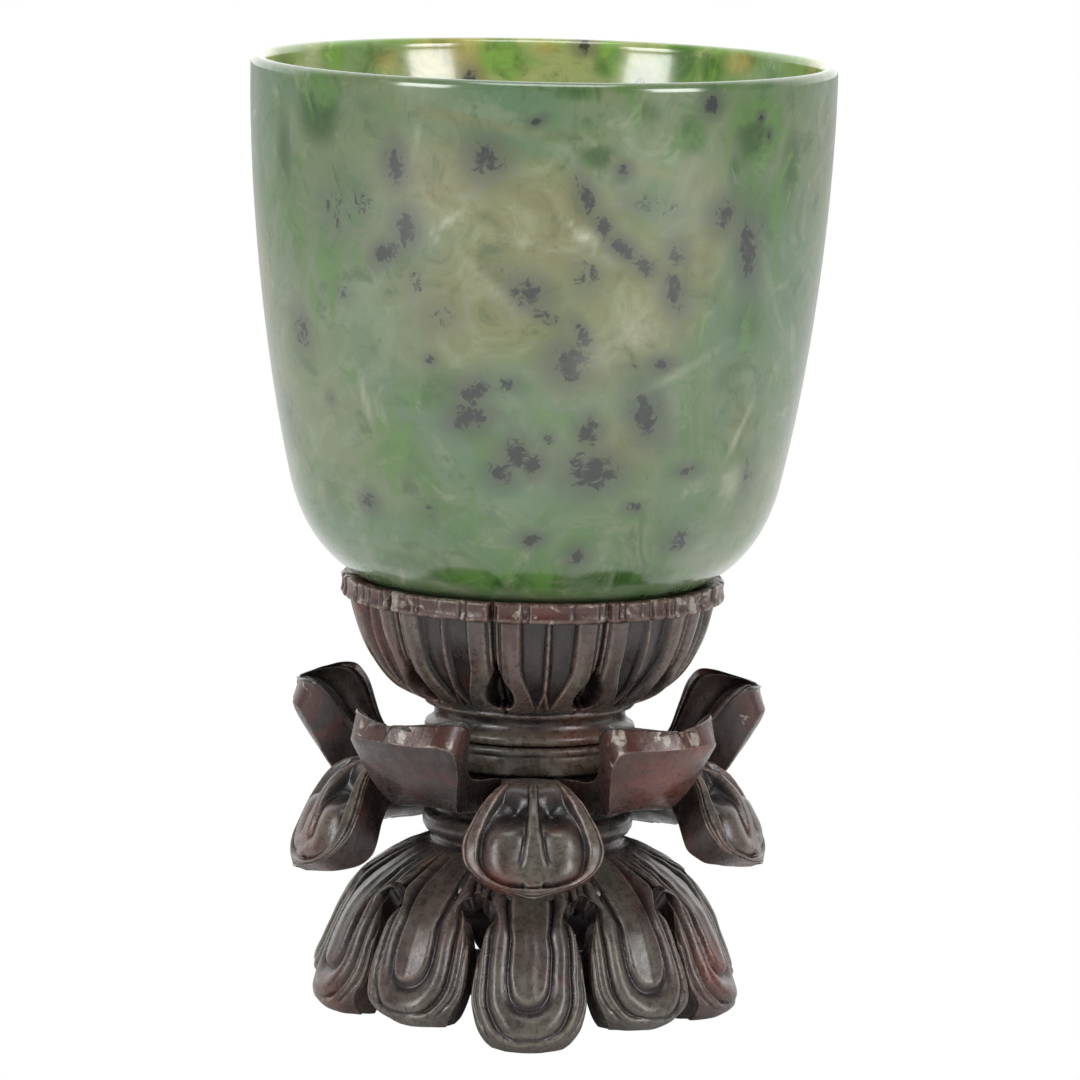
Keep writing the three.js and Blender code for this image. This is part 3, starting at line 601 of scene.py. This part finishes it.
def stone_paint():
    """The name and the function of each kind of mark in the stone."""
    dark = DARK_MARKS + scattered(33, 45, 1.6, 1.9)
    haze = [
        (degrees, up, 2.1 * wide, 1.9 * tall, lean, strength)
        for degrees, up, wide, tall, lean, strength in dark
    ]
    marks = {
        "olive": OLIVE_CLOUDS + scattered(31, 8, 9, 7),
        "vivid": VIVID_PATCHES + scattered(32, 12, 5, 4),
        "dark": dark,
        "haze": haze,
        "pale": PALE_VEINS + scattered(34, 10, 2.0, 0.5),
    }
    return [(key, lambda points, rows=rows: stone_marks(points, rows)) for key, rows in marks.items()]


def build_cup(material):
    side = cup_side(int(60 * DETAIL) + 8)
    below_lip = side[-1] - (0.0, 0.2)
    side = np.insert(side, -1, below_lip, axis=0)
    turn = np.linspace(0, math.pi, 13)[1:-1]
    lip_radius = CUP_WALL / 2
    lip_out = CUP_RADIUS - lip_radius + lip_radius * np.cos(turn)
    lip_up = CUP_TOP - lip_radius * (1 - np.sin(turn))
    lip = np.stack([lip_out, lip_up], axis=1)
    floor = CUP_FOOT[1] + CUP_FLOOR - SEAT_GAP
    inner = side[side[:, 1] > floor + CUP_WALL][::-1] - np.array([CUP_WALL, 0.0])
    inner[:, 0] -= CUP_LIP_THINNING * ramp(CUP_TOP - inner[:, 1], 0.8, 8.0)
    end = inner[-1]
    bowl = bezier([
        end,
        (end[0] - (end[1] - floor), mix(end[1], floor, 0.6)),
        (end[0] * 0.62, floor),
        (NEAR_AXIS, floor),
    ], 30)[1:]
    ring = CUP_FOOT[0] - CUP_FOOT_WIDTH
    under = np.array([
        (NEAR_AXIS, CUP_BOTTOM + 0.8), (ring - 1.0, CUP_BOTTOM + 0.8), (ring - 0.3, CUP_BOTTOM + 0.3),
        (ring, CUP_BOTTOM), (CUP_FOOT[0] - 0.4, CUP_BOTTOM), (CUP_FOOT[0], CUP_BOTTOM + 0.5),
    ])
    profile = np.vstack([under, side, lip, inner, bowl])
    columns = int(360 * DETAIL)
    points, faces = skin(lathe(profile, columns))
    outside = len(under) + len(side) + len(lip) // 2
    inside = np.append(np.repeat(np.arange(len(profile)) > outside, columns), [False, True])
    shell = (points, faces, inside.astype(float))
    return make_piece("jade_cup_stone", [shell], material, "cup", ["jade_cup"], paint=stone_paint())


# The upper lotus dish

def dish_carving(angle, along):
    """Height of the dish's carving, in millimetres; along runs from its foot to the lip band.

    Each petal has a thin ridge down a dark panel, a thick rib on each side and a narrow border.
    """
    pitch = 2 * math.pi / DISH_PETALS
    place = (angle - FRONT - DISH_TURN) / pitch
    across = np.abs(2 * (place - np.round(place)))
    seam = -0.9 * bump(across, 1.0, 0.045)
    if along > 1.0:
        return seam
    rise = ramp(along, 0.0, 0.2)
    panel_edge = mix(0.2, 0.52, ramp(along, 0.0, 0.55))
    panel = -0.95 * rise * (1 - ramp(across, panel_edge - 0.07, panel_edge + 0.03))
    fork = 0.16 * (1 - ramp(along, 0.0, 0.28))
    ridge = 0.8 * rise * bump(across, fork, 0.055) * (1 - 0.35 * ramp(along, 0.7, 1.0))
    rib = 0.3 * bump(across, mix(panel_edge, 0.9, 0.48), 0.14) * ramp(along, 0.0, 0.15)
    groove = -0.5 * bump(across, 0.89, 0.03) * ramp(along, 0.35, 0.5)
    open_share = ramp(along, 0.05, 0.14) * (1 - ramp(along, 0.42, 0.62))
    width = 0.05 + 0.33 * bump(along, 0.2, 0.19)
    hollow = -2.8 * open_share * ramp(across, 1.0 - width, 1.0 - 0.45 * width)
    return seam + panel + ridge + rib + groove + hollow


def build_dish(material):
    lip_radius = DISH_LIP_RADIUS
    neck_radius, neck = DISH_NECK
    band = DISH_LIP - DISH_BAND
    stem = np.array([
        (NEAR_AXIS, DISH_BOTTOM), (DISH_STEM_RADIUS - 0.5, DISH_BOTTOM),
        (DISH_STEM_RADIUS - 0.15, DISH_BOTTOM + 0.2), (DISH_STEM_RADIUS, DISH_BOTTOM + 0.6),
        (DISH_STEM_RADIUS - 0.15, DISH_BOTTOM + 1.0),
        (neck_radius + 0.35, DISH_BOTTOM + 1.4), (neck_radius, neck - 0.5), (neck_radius, neck + 0.3),
        (neck_radius + 0.5, neck + 0.6), (neck_radius + 1.0, neck + 0.8), (neck_radius + 1.15, neck + 1.05),
        (neck_radius + 0.9, neck + 1.3),
    ])
    bowl = bezier([
        (neck_radius + 0.9, neck + 1.35),
        (mix(neck_radius, lip_radius, 0.54), neck + 2.3),
        (mix(neck_radius, lip_radius, 0.78), neck + 7.0),
        (lip_radius - DISH_LIP_STEP, band),
    ], int(90 * DETAIL))
    edge = np.array([
        (lip_radius - 0.6, band), (lip_radius - 0.15, band + 0.1), (lip_radius, band + 0.35),
        (lip_radius - 0.1, band + 0.7), (lip_radius - 0.15, band + 1.3),
        (lip_radius - 0.1, DISH_LIP - 0.5), (lip_radius - 0.05, DISH_LIP - 0.25),
        (lip_radius - 0.2, DISH_LIP - 0.05), (lip_radius - 0.5, DISH_LIP),
    ])
    heights = np.linspace(DISH_LIP - 0.1, CUP_FOOT[1] + 0.2, 10)
    cradle = np.stack([cup_radius(heights) + SEAT_GAP, heights], axis=1)
    seat = np.array([(cradle[-1][0], DISH_SEAT), (NEAR_AXIS, DISH_SEAT)])
    profile = np.vstack([stem, bowl, edge, cradle, seat])
    first, last = len(stem), len(stem) + len(bowl) + len(edge)
    foot, top = bowl[0][1], band
    columns = int(900 * DETAIL)
    levels = np.full((len(profile), columns), PLAIN)
    levels[:first] = 0.0

    def shape(angle, height, row):
        """What the carving adds to the radius. Its level is noted for the material."""
        if not first <= row < last:
            return 0.0
        if row < last - len(edge):
            levels[row] = dish_carving(angle, (height - foot) / (top - foot))
            return levels[row]
        # The lip band gets the rim level: pale wax and painted glints
        levels[row] = RIM_WAX_AND_GLINTS
        notch = np.sin(41 * angle + 3 * np.sin(7 * angle)) * np.sin(17 * angle + 1.0)
        return dish_carving(angle, 2.0) - 0.35 * ramp(notch, 0.15, 0.6)

    points, faces = skin(lathe(profile, columns, shape))
    uneven = DISH_UNEVENNESS * ripple(points, 5, UNEVENNESS_LENGTH)
    points[:, :2] *= 1 + uneven[:, None] * (points[:, 2:] > neck)
    shell = (points, faces, np.append(levels.ravel(), [PLAIN, PLAIN]))
    return make_piece(
        "upper_lotus_dish_carving", [shell], material, "stand", ["upper_lotus_dish"], paint=WORN,
    )


# Petals

class Petal:
    """A carved petal in its own upright plane along +X, from root to tip.

    Its face and its back each run across from a middle line to a border on both sides, over an
    arc in degrees. A wall with softened corners joins the two borders. Side is 1 or -1, whichever
    turns the face's normal into the wood. Past the share of the way out given as the last argument,
    the wall holds pale waxy blocks and painted glints.
    """

    def __init__(self, face, back, arc, side, wax_and_glints_from=math.inf):
        self.face_lines = face
        self.back_lines = back
        self.arc = math.radians(arc)
        self.side = side
        self.wax_and_glints_from = wax_and_glints_from

    def sheet(self, lines, along, across):
        middle, border = lines
        along, across = np.broadcast_arrays(along, across)
        a = spline([(out, 0.0, up) for out, up in middle], along)
        b = spline(border, along)
        fold = (1 - np.cos(self.arc * across)) / (1 - math.cos(self.arc))
        wide = np.sin(self.arc * across) / math.sin(self.arc)
        reach = mix(a[..., 0], b[..., 0], fold)
        height = mix(a[..., 2], b[..., 2], fold)
        return np.stack([reach, wide * b[..., 1], height], axis=-1)

    def normal(self, along, across):
        step = 0.012
        u = np.clip(along, step, 0.97)
        v = np.clip(across, -0.9, 0.9)
        du = self.sheet(self.face_lines, u + step, v) - self.sheet(self.face_lines, u - step, v)
        dv = self.sheet(self.face_lines, u, v + step) - self.sheet(self.face_lines, u, v - step)
        cross = np.cross(du, dv)
        return self.side * cross / np.maximum(np.linalg.norm(cross, axis=-1, keepdims=True), 1e-9)

    def shell(self, rows, columns, relief):
        along = np.linspace(0, 1, rows)[:, None]
        even = np.linspace(-1, 1, columns)[None, :]
        across = 0.5 * even + 0.5 * np.sin(even * math.pi / 2)
        height = relief(along, across)
        soft = 0.3 * ramp(np.abs(across), 0.93, 1.0) ** 2
        front = self.sheet(self.face_lines, along, across)
        front = front - self.normal(along, across) * (height - soft)[..., None]
        back = self.sheet(self.back_lines, along, across)
        shares = (0.05, 0.12, 0.3, 0.5, 0.7, 0.88, 0.95)
        rings = []
        for row in range(rows):
            right = [mix(front[row, -1], back[row, -1], share) for share in shares]
            left = [mix(back[row, 0], front[row, 0], share) for share in shares]
            rings.append(np.vstack([front[row], right, back[row, ::-1], left]))
        vertices, faces = skin(rings)
        level = np.full(len(vertices), PLAIN)
        grid = level[:-2].reshape(rows, -1)
        grid[:, :columns] = height
        # Past that share the wall gets the rim level: pale wax and painted glints
        rim = along[:, 0] > self.wax_and_glints_from
        grid[rim, columns:columns + len(shares)] = RIM_WAX_AND_GLINTS
        grid[rim, -len(shares):] = RIM_WAX_AND_GLINTS
        return vertices, faces, level


def border_share(along, across, start, power=5.0):
    """Runs to 1 at a petal's border, round its tip as well as along its sides."""
    tip = np.clip((along - start) / (1 - start), 0, 1)
    return (np.abs(across) ** power + tip ** power) ** (1 / power)


def lobe(share, start, end, power=0.8):
    """A rounded rise between two shares, 0 outside them."""
    return np.sin(math.pi * np.clip((share - start) / (end - start), 0, 1)) ** power


# Middle line (reach, height) and border (reach, half width, height) of each kind of petal
UP_FACE = ([
    (9.8, 27.65), (12.5, 27.75), (15.2, 28.0), (17.8, 28.5), (20.2, 29.4), (22.2, 30.7), (23.9, 32.2),
    (25.2, 33.5), (26.2, 34.6), (26.9, 35.4), (27.3, 35.9),
], [
    (9.8, 3.2, 27.9), (12.3, 3.25, 28.1), (14.6, 3.35, 28.3), (16.8, 3.8, 29.0), (18.6, 4.8, 30.6),
    (20.1, 6.0, 33.0), (21.6, 7.1, 35.3), (23.1, 7.4, 36.4), (24.8, 6.2, 36.5), (26.4, 3.5, 36.2),
    (27.3, 0.5, 35.95),
])
UP_BACK = ([
    (9.8, 24.6), (12.6, 24.75), (15.4, 25.05), (18.0, 25.5), (20.4, 26.2), (22.3, 27.4), (24.1, 28.9),
    (25.3, 30.4), (26.4, 31.8), (27.3, 33.1), (27.8, 34.0),
], [
    (9.8, 3.2, 24.6), (12.5, 3.25, 24.8), (15.0, 3.35, 25.0), (17.4, 3.6, 25.3), (20.1, 4.3, 25.8),
    (22.0, 5.6, 28.2), (23.6, 6.6, 31.4), (24.9, 6.7, 33.3), (26.0, 5.6, 33.8), (27.0, 3.2, 33.9),
    (27.75, 0.5, 34.0),
])
DOWN_FACE = ([
    (9.8, 28.0), (12.8, 28.7), (16.3, 29.3), (19.0, 29.4), (21.3, 28.9), (23.1, 27.7), (24.5, 25.9),
    (25.4, 24.0), (26.1, 22.1), (26.6, 20.5), (27.1, 19.3), (27.4, 18.1),
], [
    (9.8, 2.8, 27.9), (12.5, 2.8, 28.5), (15.5, 2.9, 29.1), (18.1, 3.2, 29.3), (20.0, 4.2, 28.9),
    (21.2, 5.5, 27.7), (22.2, 6.8, 25.8), (23.2, 7.7, 24.0), (24.0, 7.9, 22.6), (25.1, 7.2, 21.0),
    (26.4, 4.7, 19.3), (27.4, 0.4, 18.1),
])
DOWN_BACK = ([
    (9.8, 24.6), (12.6, 25.1), (15.6, 25.6), (17.8, 25.6), (19.4, 25.2), (20.4, 24.4), (21.2, 23.1),
    (21.8, 21.8), (22.3, 20.6), (22.9, 19.4), (24.2, 18.4), (26.2, 17.7),
], [
    (9.8, 2.8, 24.6), (12.4, 2.8, 25.0), (15.2, 2.9, 25.4), (16.9, 3.1, 25.2), (18.0, 3.9, 24.5),
    (18.9, 5.0, 23.4), (19.5, 6.0, 22.4), (20.0, 6.6, 21.4), (20.6, 6.8, 20.3), (21.7, 6.3, 19.2),
    (23.6, 4.3, 18.3), (26.1, 0.4, 17.65),
])
BASE_FACE = ([
    (10.0, 19.6), (12.0, 19.3), (14.0, 18.4), (16.0, 17.1), (18.0, 15.6), (19.6, 14.0), (20.9, 12.2),
    (21.9, 10.1), (22.8, 7.8), (23.7, 5.6), (24.4, 3.7), (24.8, 1.9), (24.1, 0.8), (22.8, -0.1),
], [
    (10.0, 3.4, 19.4), (11.8, 3.95, 19.0), (13.6, 4.55, 18.2), (15.3, 5.1, 17.3), (16.5, 5.5, 16.5),
    (17.4, 4.6, 15.8), (18.3, 4.0, 14.7), (19.1, 5.1, 12.3), (19.9, 5.95, 9.4), (20.6, 6.4, 6.6),
    (21.2, 6.5, 4.6), (21.9, 6.0, 2.7), (21.4, 5.0, 1.0), (20.4, 4.0, -0.1),
])
BASE_BACK = ([
    (10.0, 16.9), (11.4, 16.8), (12.9, 16.2), (14.5, 15.1), (16.1, 13.8), (17.4, 12.4), (18.5, 10.8),
    (19.3, 9.0), (20.0, 7.0), (20.5, 5.1), (20.8, 3.5), (21.0, 2.2), (21.1, 1.0), (21.2, -0.1),
], [
    (10.0, 3.4, 16.9), (11.3, 3.9, 16.7), (12.6, 4.4, 16.0), (13.9, 4.8, 15.1), (15.0, 4.9, 14.3),
    (15.8, 4.3, 13.6), (16.4, 3.9, 12.6), (16.9, 4.6, 10.8), (17.4, 5.2, 8.4), (17.9, 5.5, 6.0),
    (18.3, 5.5, 4.2), (18.6, 5.2, 2.5), (18.8, 4.6, 1.0), (18.9, 3.7, -0.1),
])


def up_relief(along, across):
    """Three soft ribs along a hollowed face."""
    side = np.abs(across)
    body = ramp(along, 0.2, 0.45) * (1 - ramp(along, 0.88, 0.97)) * (1 - ramp(side, 0.84, 0.93))
    return body * (0.6 * bump(side, 0.0, 0.12) + 0.6 * bump(side, 0.5, 0.14) - 0.42)


def down_relief(along, across):
    """Two bosses beside a ridge that widens downwards, inside a raised border, under two hollows."""
    side = np.abs(across)
    a = border_share(along, across, 0.7)
    body = ramp(along, 0.28, 0.42)
    ridge_width = mix(0.05, 0.12, ramp(along, 0.5, 0.85))
    ridge = 1 - ramp(side, ridge_width, ridge_width + 0.07)
    border = ramp(a, 0.7, 0.77)
    boss = 1.2 * lobe(a, 0.08, 0.72, 0.7) * ramp(along, 0.46, 0.62)
    hollow = -1.3 * bump(along, 0.45, 0.09) * bump(side, 0.38, 0.25)
    valley = body * (1 - np.maximum(ridge * (1 - ramp(a, 0.66, 0.74)), border)) * (boss - 1.1 + hollow)
    line = -0.3 * bump(a, 0.93, 0.022) * ramp(along, 0.1, 0.3)
    return valley + line


def base_relief(along, across):
    """A raised leaf in the middle, a rounded lobe on each side of it and a raised border."""
    across = across * (1 - 0.27 * bump(along, 0.45, 0.11))
    a = border_share(along, across, 0.55, 2.6)
    fade = ramp(along, 0.05, 0.22) * (1 - ramp(along, 0.84, 0.89))
    leaf = 1 - ramp(a, 0.28, 0.38)
    leaf = leaf * (1 - 0.18 * (1 - bump(across, 0, 0.09)))
    rib = 0.95 * lobe(a, 0.38, 0.74)
    rim = ramp(a, 0.72, 0.8) - 0.3 * bump(a, 0.92, 0.03)
    return fade * 0.9 * (leaf + rib + rim - 1)


def build_middle_petals(material):
    up = Petal(UP_FACE, UP_BACK, arc=60, side=1, wax_and_glints_from=0.6)
    down = Petal(DOWN_FACE, DOWN_BACK, arc=52, side=-1)
    rows, columns = int(96 * DETAIL), int(90 * DETAIL) + 1
    step = 2 * math.pi / MIDDLE_PETALS
    for i in range(MIDDLE_PETALS):
        for kind, petal, relief, shift, stretch in (
            ("downturned", down, down_relief, 0.0, DOWN_PETAL_STRETCHES[i]),
            ("upturned", up, up_relief, 0.5, UP_PETAL_STRETCHES[i]),
        ):
            points, faces, level = petal.shell(rows, columns, relief)
            points[:, 2] = mix(HUB_TOP, points[:, 2], stretch)
            uneven = MIDDLE_PETAL_UNEVENNESS * ripple(points, 20 + i, UNEVENNESS_LENGTH)
            points = points + uneven[:, None]
            make_piece(
                f"{kind}_petal_{i + 1}_carving", [(points, faces, level)], material, "stand",
                [f"{kind}_petal_{i + 1}"], (i + shift) * step + FRONT, WORN,
            )


# Hub and base

def build_hub(material):
    band = HUB_TOP - HUB_BAND_HEIGHT
    foot = HUB_BOTTOM + HUB_FOOT_HEIGHT
    profile = np.array([
        (NEAR_AXIS, HUB_BOTTOM), (HUB_FOOT_RADIUS - 1.0, HUB_BOTTOM),
        (HUB_FOOT_RADIUS - 0.4, HUB_BOTTOM + 0.4), (HUB_FOOT_RADIUS - 0.05, HUB_BOTTOM + 1.0),
        (HUB_FOOT_RADIUS, HUB_BOTTOM + 1.6), (HUB_FOOT_RADIUS - 0.15, foot - 0.15),
        (HUB_RADIUS + 0.3, foot), (HUB_RADIUS, foot + 0.3), (HUB_RADIUS, band - 0.6),
        (HUB_RADIUS + 0.2, band - 0.2), (HUB_BAND_RADIUS - 0.2, band),
        (HUB_BAND_RADIUS, band + 0.25), (HUB_BAND_RADIUS - 0.1, HUB_TOP - 1.1),
        (HUB_BAND_RADIUS - 0.2, HUB_TOP - 0.9), (HUB_BAND_RADIUS, HUB_TOP - 0.6),
        (HUB_BAND_RADIUS - 0.1, HUB_TOP - 0.15), (HUB_BAND_RADIUS - 0.4, HUB_TOP),
        (NEAR_AXIS, HUB_TOP),
    ])
    columns = int(240 * DETAIL)
    points, faces = skin(lathe(profile, columns))
    rows = np.where(profile[:, 1] > band, 0.0, PLAIN)
    shell = (points, faces, np.append(np.repeat(rows, columns), [PLAIN, PLAIN]))
    return make_piece("petal_hub_turning", [shell], material, "stand", ["petal_hub"], paint=WORN)


def build_base(material):
    under = BASE_TOP - BASE_CROWN
    crown = np.array([
        (NEAR_AXIS, under), (BASE_NECK_RADIUS, under - 0.4), (BASE_NECK_RADIUS + 3.4, under - 1.2),
        (BASE_NECK_RADIUS + 5.6, under - 0.8), (BASE_NECK_RADIUS + 5.9, under + 0.2),
        (BASE_NECK_RADIUS + 4.9, BASE_TOP - 3.0), (BASE_NECK_RADIUS + 3.0, BASE_TOP - 1.9),
        (BASE_NECK_RADIUS + 1.2, BASE_TOP - 1.0), (BASE_NECK_RADIUS + 0.2, BASE_TOP - 0.5),
        (BASE_NECK_RADIUS, BASE_TOP - 0.2), (BASE_NECK_RADIUS + 0.1, BASE_TOP),
        (NEAR_AXIS, BASE_TOP),
    ])
    columns = int(180 * DETAIL)
    rings = lathe([*BASE_RING, BASE_RING[0]], columns)
    shells = [(*skin(lathe(crown, int(240 * DETAIL))), PLAIN)]
    shells.append((np.vstack(rings), ring_faces(len(rings), columns), PLAIN))
    petal = Petal(BASE_FACE, BASE_BACK, arc=56, side=-1)
    rows, columns = int(110 * DETAIL), int(80 * DETAIL) + 1
    root = BASE_TOP - BASE_PETAL_DROP
    for i in range(BASE_PETALS):
        points, faces, level = petal.shell(rows, columns, base_relief)
        foot = BASE_PETAL_RISES[i]
        points[:, 2] = root + (points[:, 2] - root) * (root - foot) / root
        points = turned(points, i * 2 * math.pi / BASE_PETALS + FRONT)
        uneven = BASE_PETAL_UNEVENNESS * ripple(points, 50 + i, UNEVENNESS_LENGTH)
        points = points + uneven[:, None]
        points[:, 2] = np.maximum(points[:, 2], foot)
        shells.append((points, faces, level))
    return make_piece("lotus_base_carving", shells, material, "stand", ["lotus_base"], paint=WORN)


# Stage, light and camera

def white_floor():
    """A pale floor that takes shadows and looks plain white to the camera."""
    bpy.ops.mesh.primitive_plane_add(size=6)
    floor = bpy.context.object
    floor.name = "floor"
    n = Nodes("white_floor")
    n.set(Base_Color=(0.85, 0.85, 0.85, 1), Roughness=0.9)
    glow = n.add("ShaderNodeEmission")
    switch = n.add("ShaderNodeMixShader")
    n.join(n.add("ShaderNodeLightPath").outputs["Is Camera Ray"], switch.inputs[0])
    n.join(n.shader.outputs[0], switch.inputs[1])
    n.join(glow.outputs[0], switch.inputs[2])
    n.join(switch.outputs[0], n.tree.nodes["Material Output"].inputs["Surface"])
    floor.data.materials.append(n.material)


def studio_world():
    """Plain white to the camera, and for light brighter behind the cup than in front of it."""
    world = bpy.data.worlds.new("studio")
    world.use_nodes = True
    tree = world.node_tree
    background = tree.nodes["Background"]
    path = tree.nodes.new("ShaderNodeLightPath")
    strength = tree.nodes.new("ShaderNodeMix")
    tree.links.new(path.outputs["Is Camera Ray"], strength.inputs["Factor"])
    direction = tree.nodes.new("ShaderNodeSeparateXYZ")
    tree.links.new(tree.nodes.new("ShaderNodeTexCoord").outputs["Generated"], direction.inputs[0])
    backdrop = tree.nodes.new("ShaderNodeMapRange")
    tree.links.new(direction.outputs["Y"], backdrop.inputs["Value"])
    for key, number in zip(("From Min", "From Max", "To Min", "To Max"), (0.1, 0.65, 0.2, 1.5)):
        backdrop.inputs[key].default_value = number
    tree.links.new(backdrop.outputs[0], strength.inputs["A"])
    strength.inputs["B"].default_value = 1.0
    tree.links.new(strength.outputs["Result"], background.inputs["Strength"])
    background.inputs["Color"].default_value = (1, 1, 1, 1)
    bpy.context.scene.world = world


def add_light(name, place, aim, size, power):
    """A soft rectangular lamp. Place and size are in metres, power in watts."""
    data = bpy.data.lights.new(name, "AREA")
    data.shape = "RECTANGLE"
    data.size, data.size_y = size
    data.energy = power
    lamp = bpy.data.objects.new(name, data)
    lamp.location = place
    lamp.rotation_euler = (Vector(aim) - Vector(place)).to_track_quat("-Z", "Y").to_euler()
    bpy.context.collection.objects.link(lamp)


# The camera, in metres and radians, its lens in millimetres
CAMERA_DISTANCE = 0.782
CAMERA_HEIGHT = 0.167
CAMERA_TURN = math.radians(1.7)
CAMERA_PITCH = math.radians(8.26)
CAMERA_ROLL = math.radians(-1.3)
CAMERA_SIDE = 0.0007
CAMERA_LENS = 235.8


def add_camera():
    data = bpy.data.cameras.new("camera")
    data.lens = CAMERA_LENS
    data.sensor_width = 36
    data.clip_start, data.clip_end = 0.01, 10
    camera = bpy.data.objects.new("camera", data)
    c, s = math.cos(CAMERA_TURN), math.sin(CAMERA_TURN)
    camera.location = (
        CAMERA_SIDE * c - CAMERA_DISTANCE * s, -CAMERA_SIDE * s - CAMERA_DISTANCE * c, CAMERA_HEIGHT,
    )
    look = Euler((math.pi / 2 - CAMERA_PITCH, 0, -CAMERA_TURN), "XYZ").to_matrix()
    camera.rotation_euler = (look @ Matrix.Rotation(-CAMERA_ROLL, 3, "Z")).to_euler()
    bpy.context.collection.objects.link(camera)
    bpy.context.scene.camera = camera


jade = jade_material()
wood = wood_material()
build_cup(jade)
build_dish(wood)
build_middle_petals(wood)
build_hub(wood)
build_base(wood)

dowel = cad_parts["centre_dowel"]
dowel.data.materials.clear()
dowel.data.materials.append(wood_material("dowel_wood", 2.5))

white_floor()
studio_world()
middle = (0, 0, (CUP_TOP / 2) * MM)
add_light("left_softbox", (-0.45, -0.4, 0.24), middle, (0.22, 0.3), 2.2)
add_light("right_softbox", (0.46, -0.39, 0.24), middle, (0.22, 0.3), 2.2)
add_light("top_softbox", (0, -0.15, 0.75), middle, (0.4, 0.4), 2.5)
add_camera()
bpy.context.scene.view_settings.view_transform = "Standard"
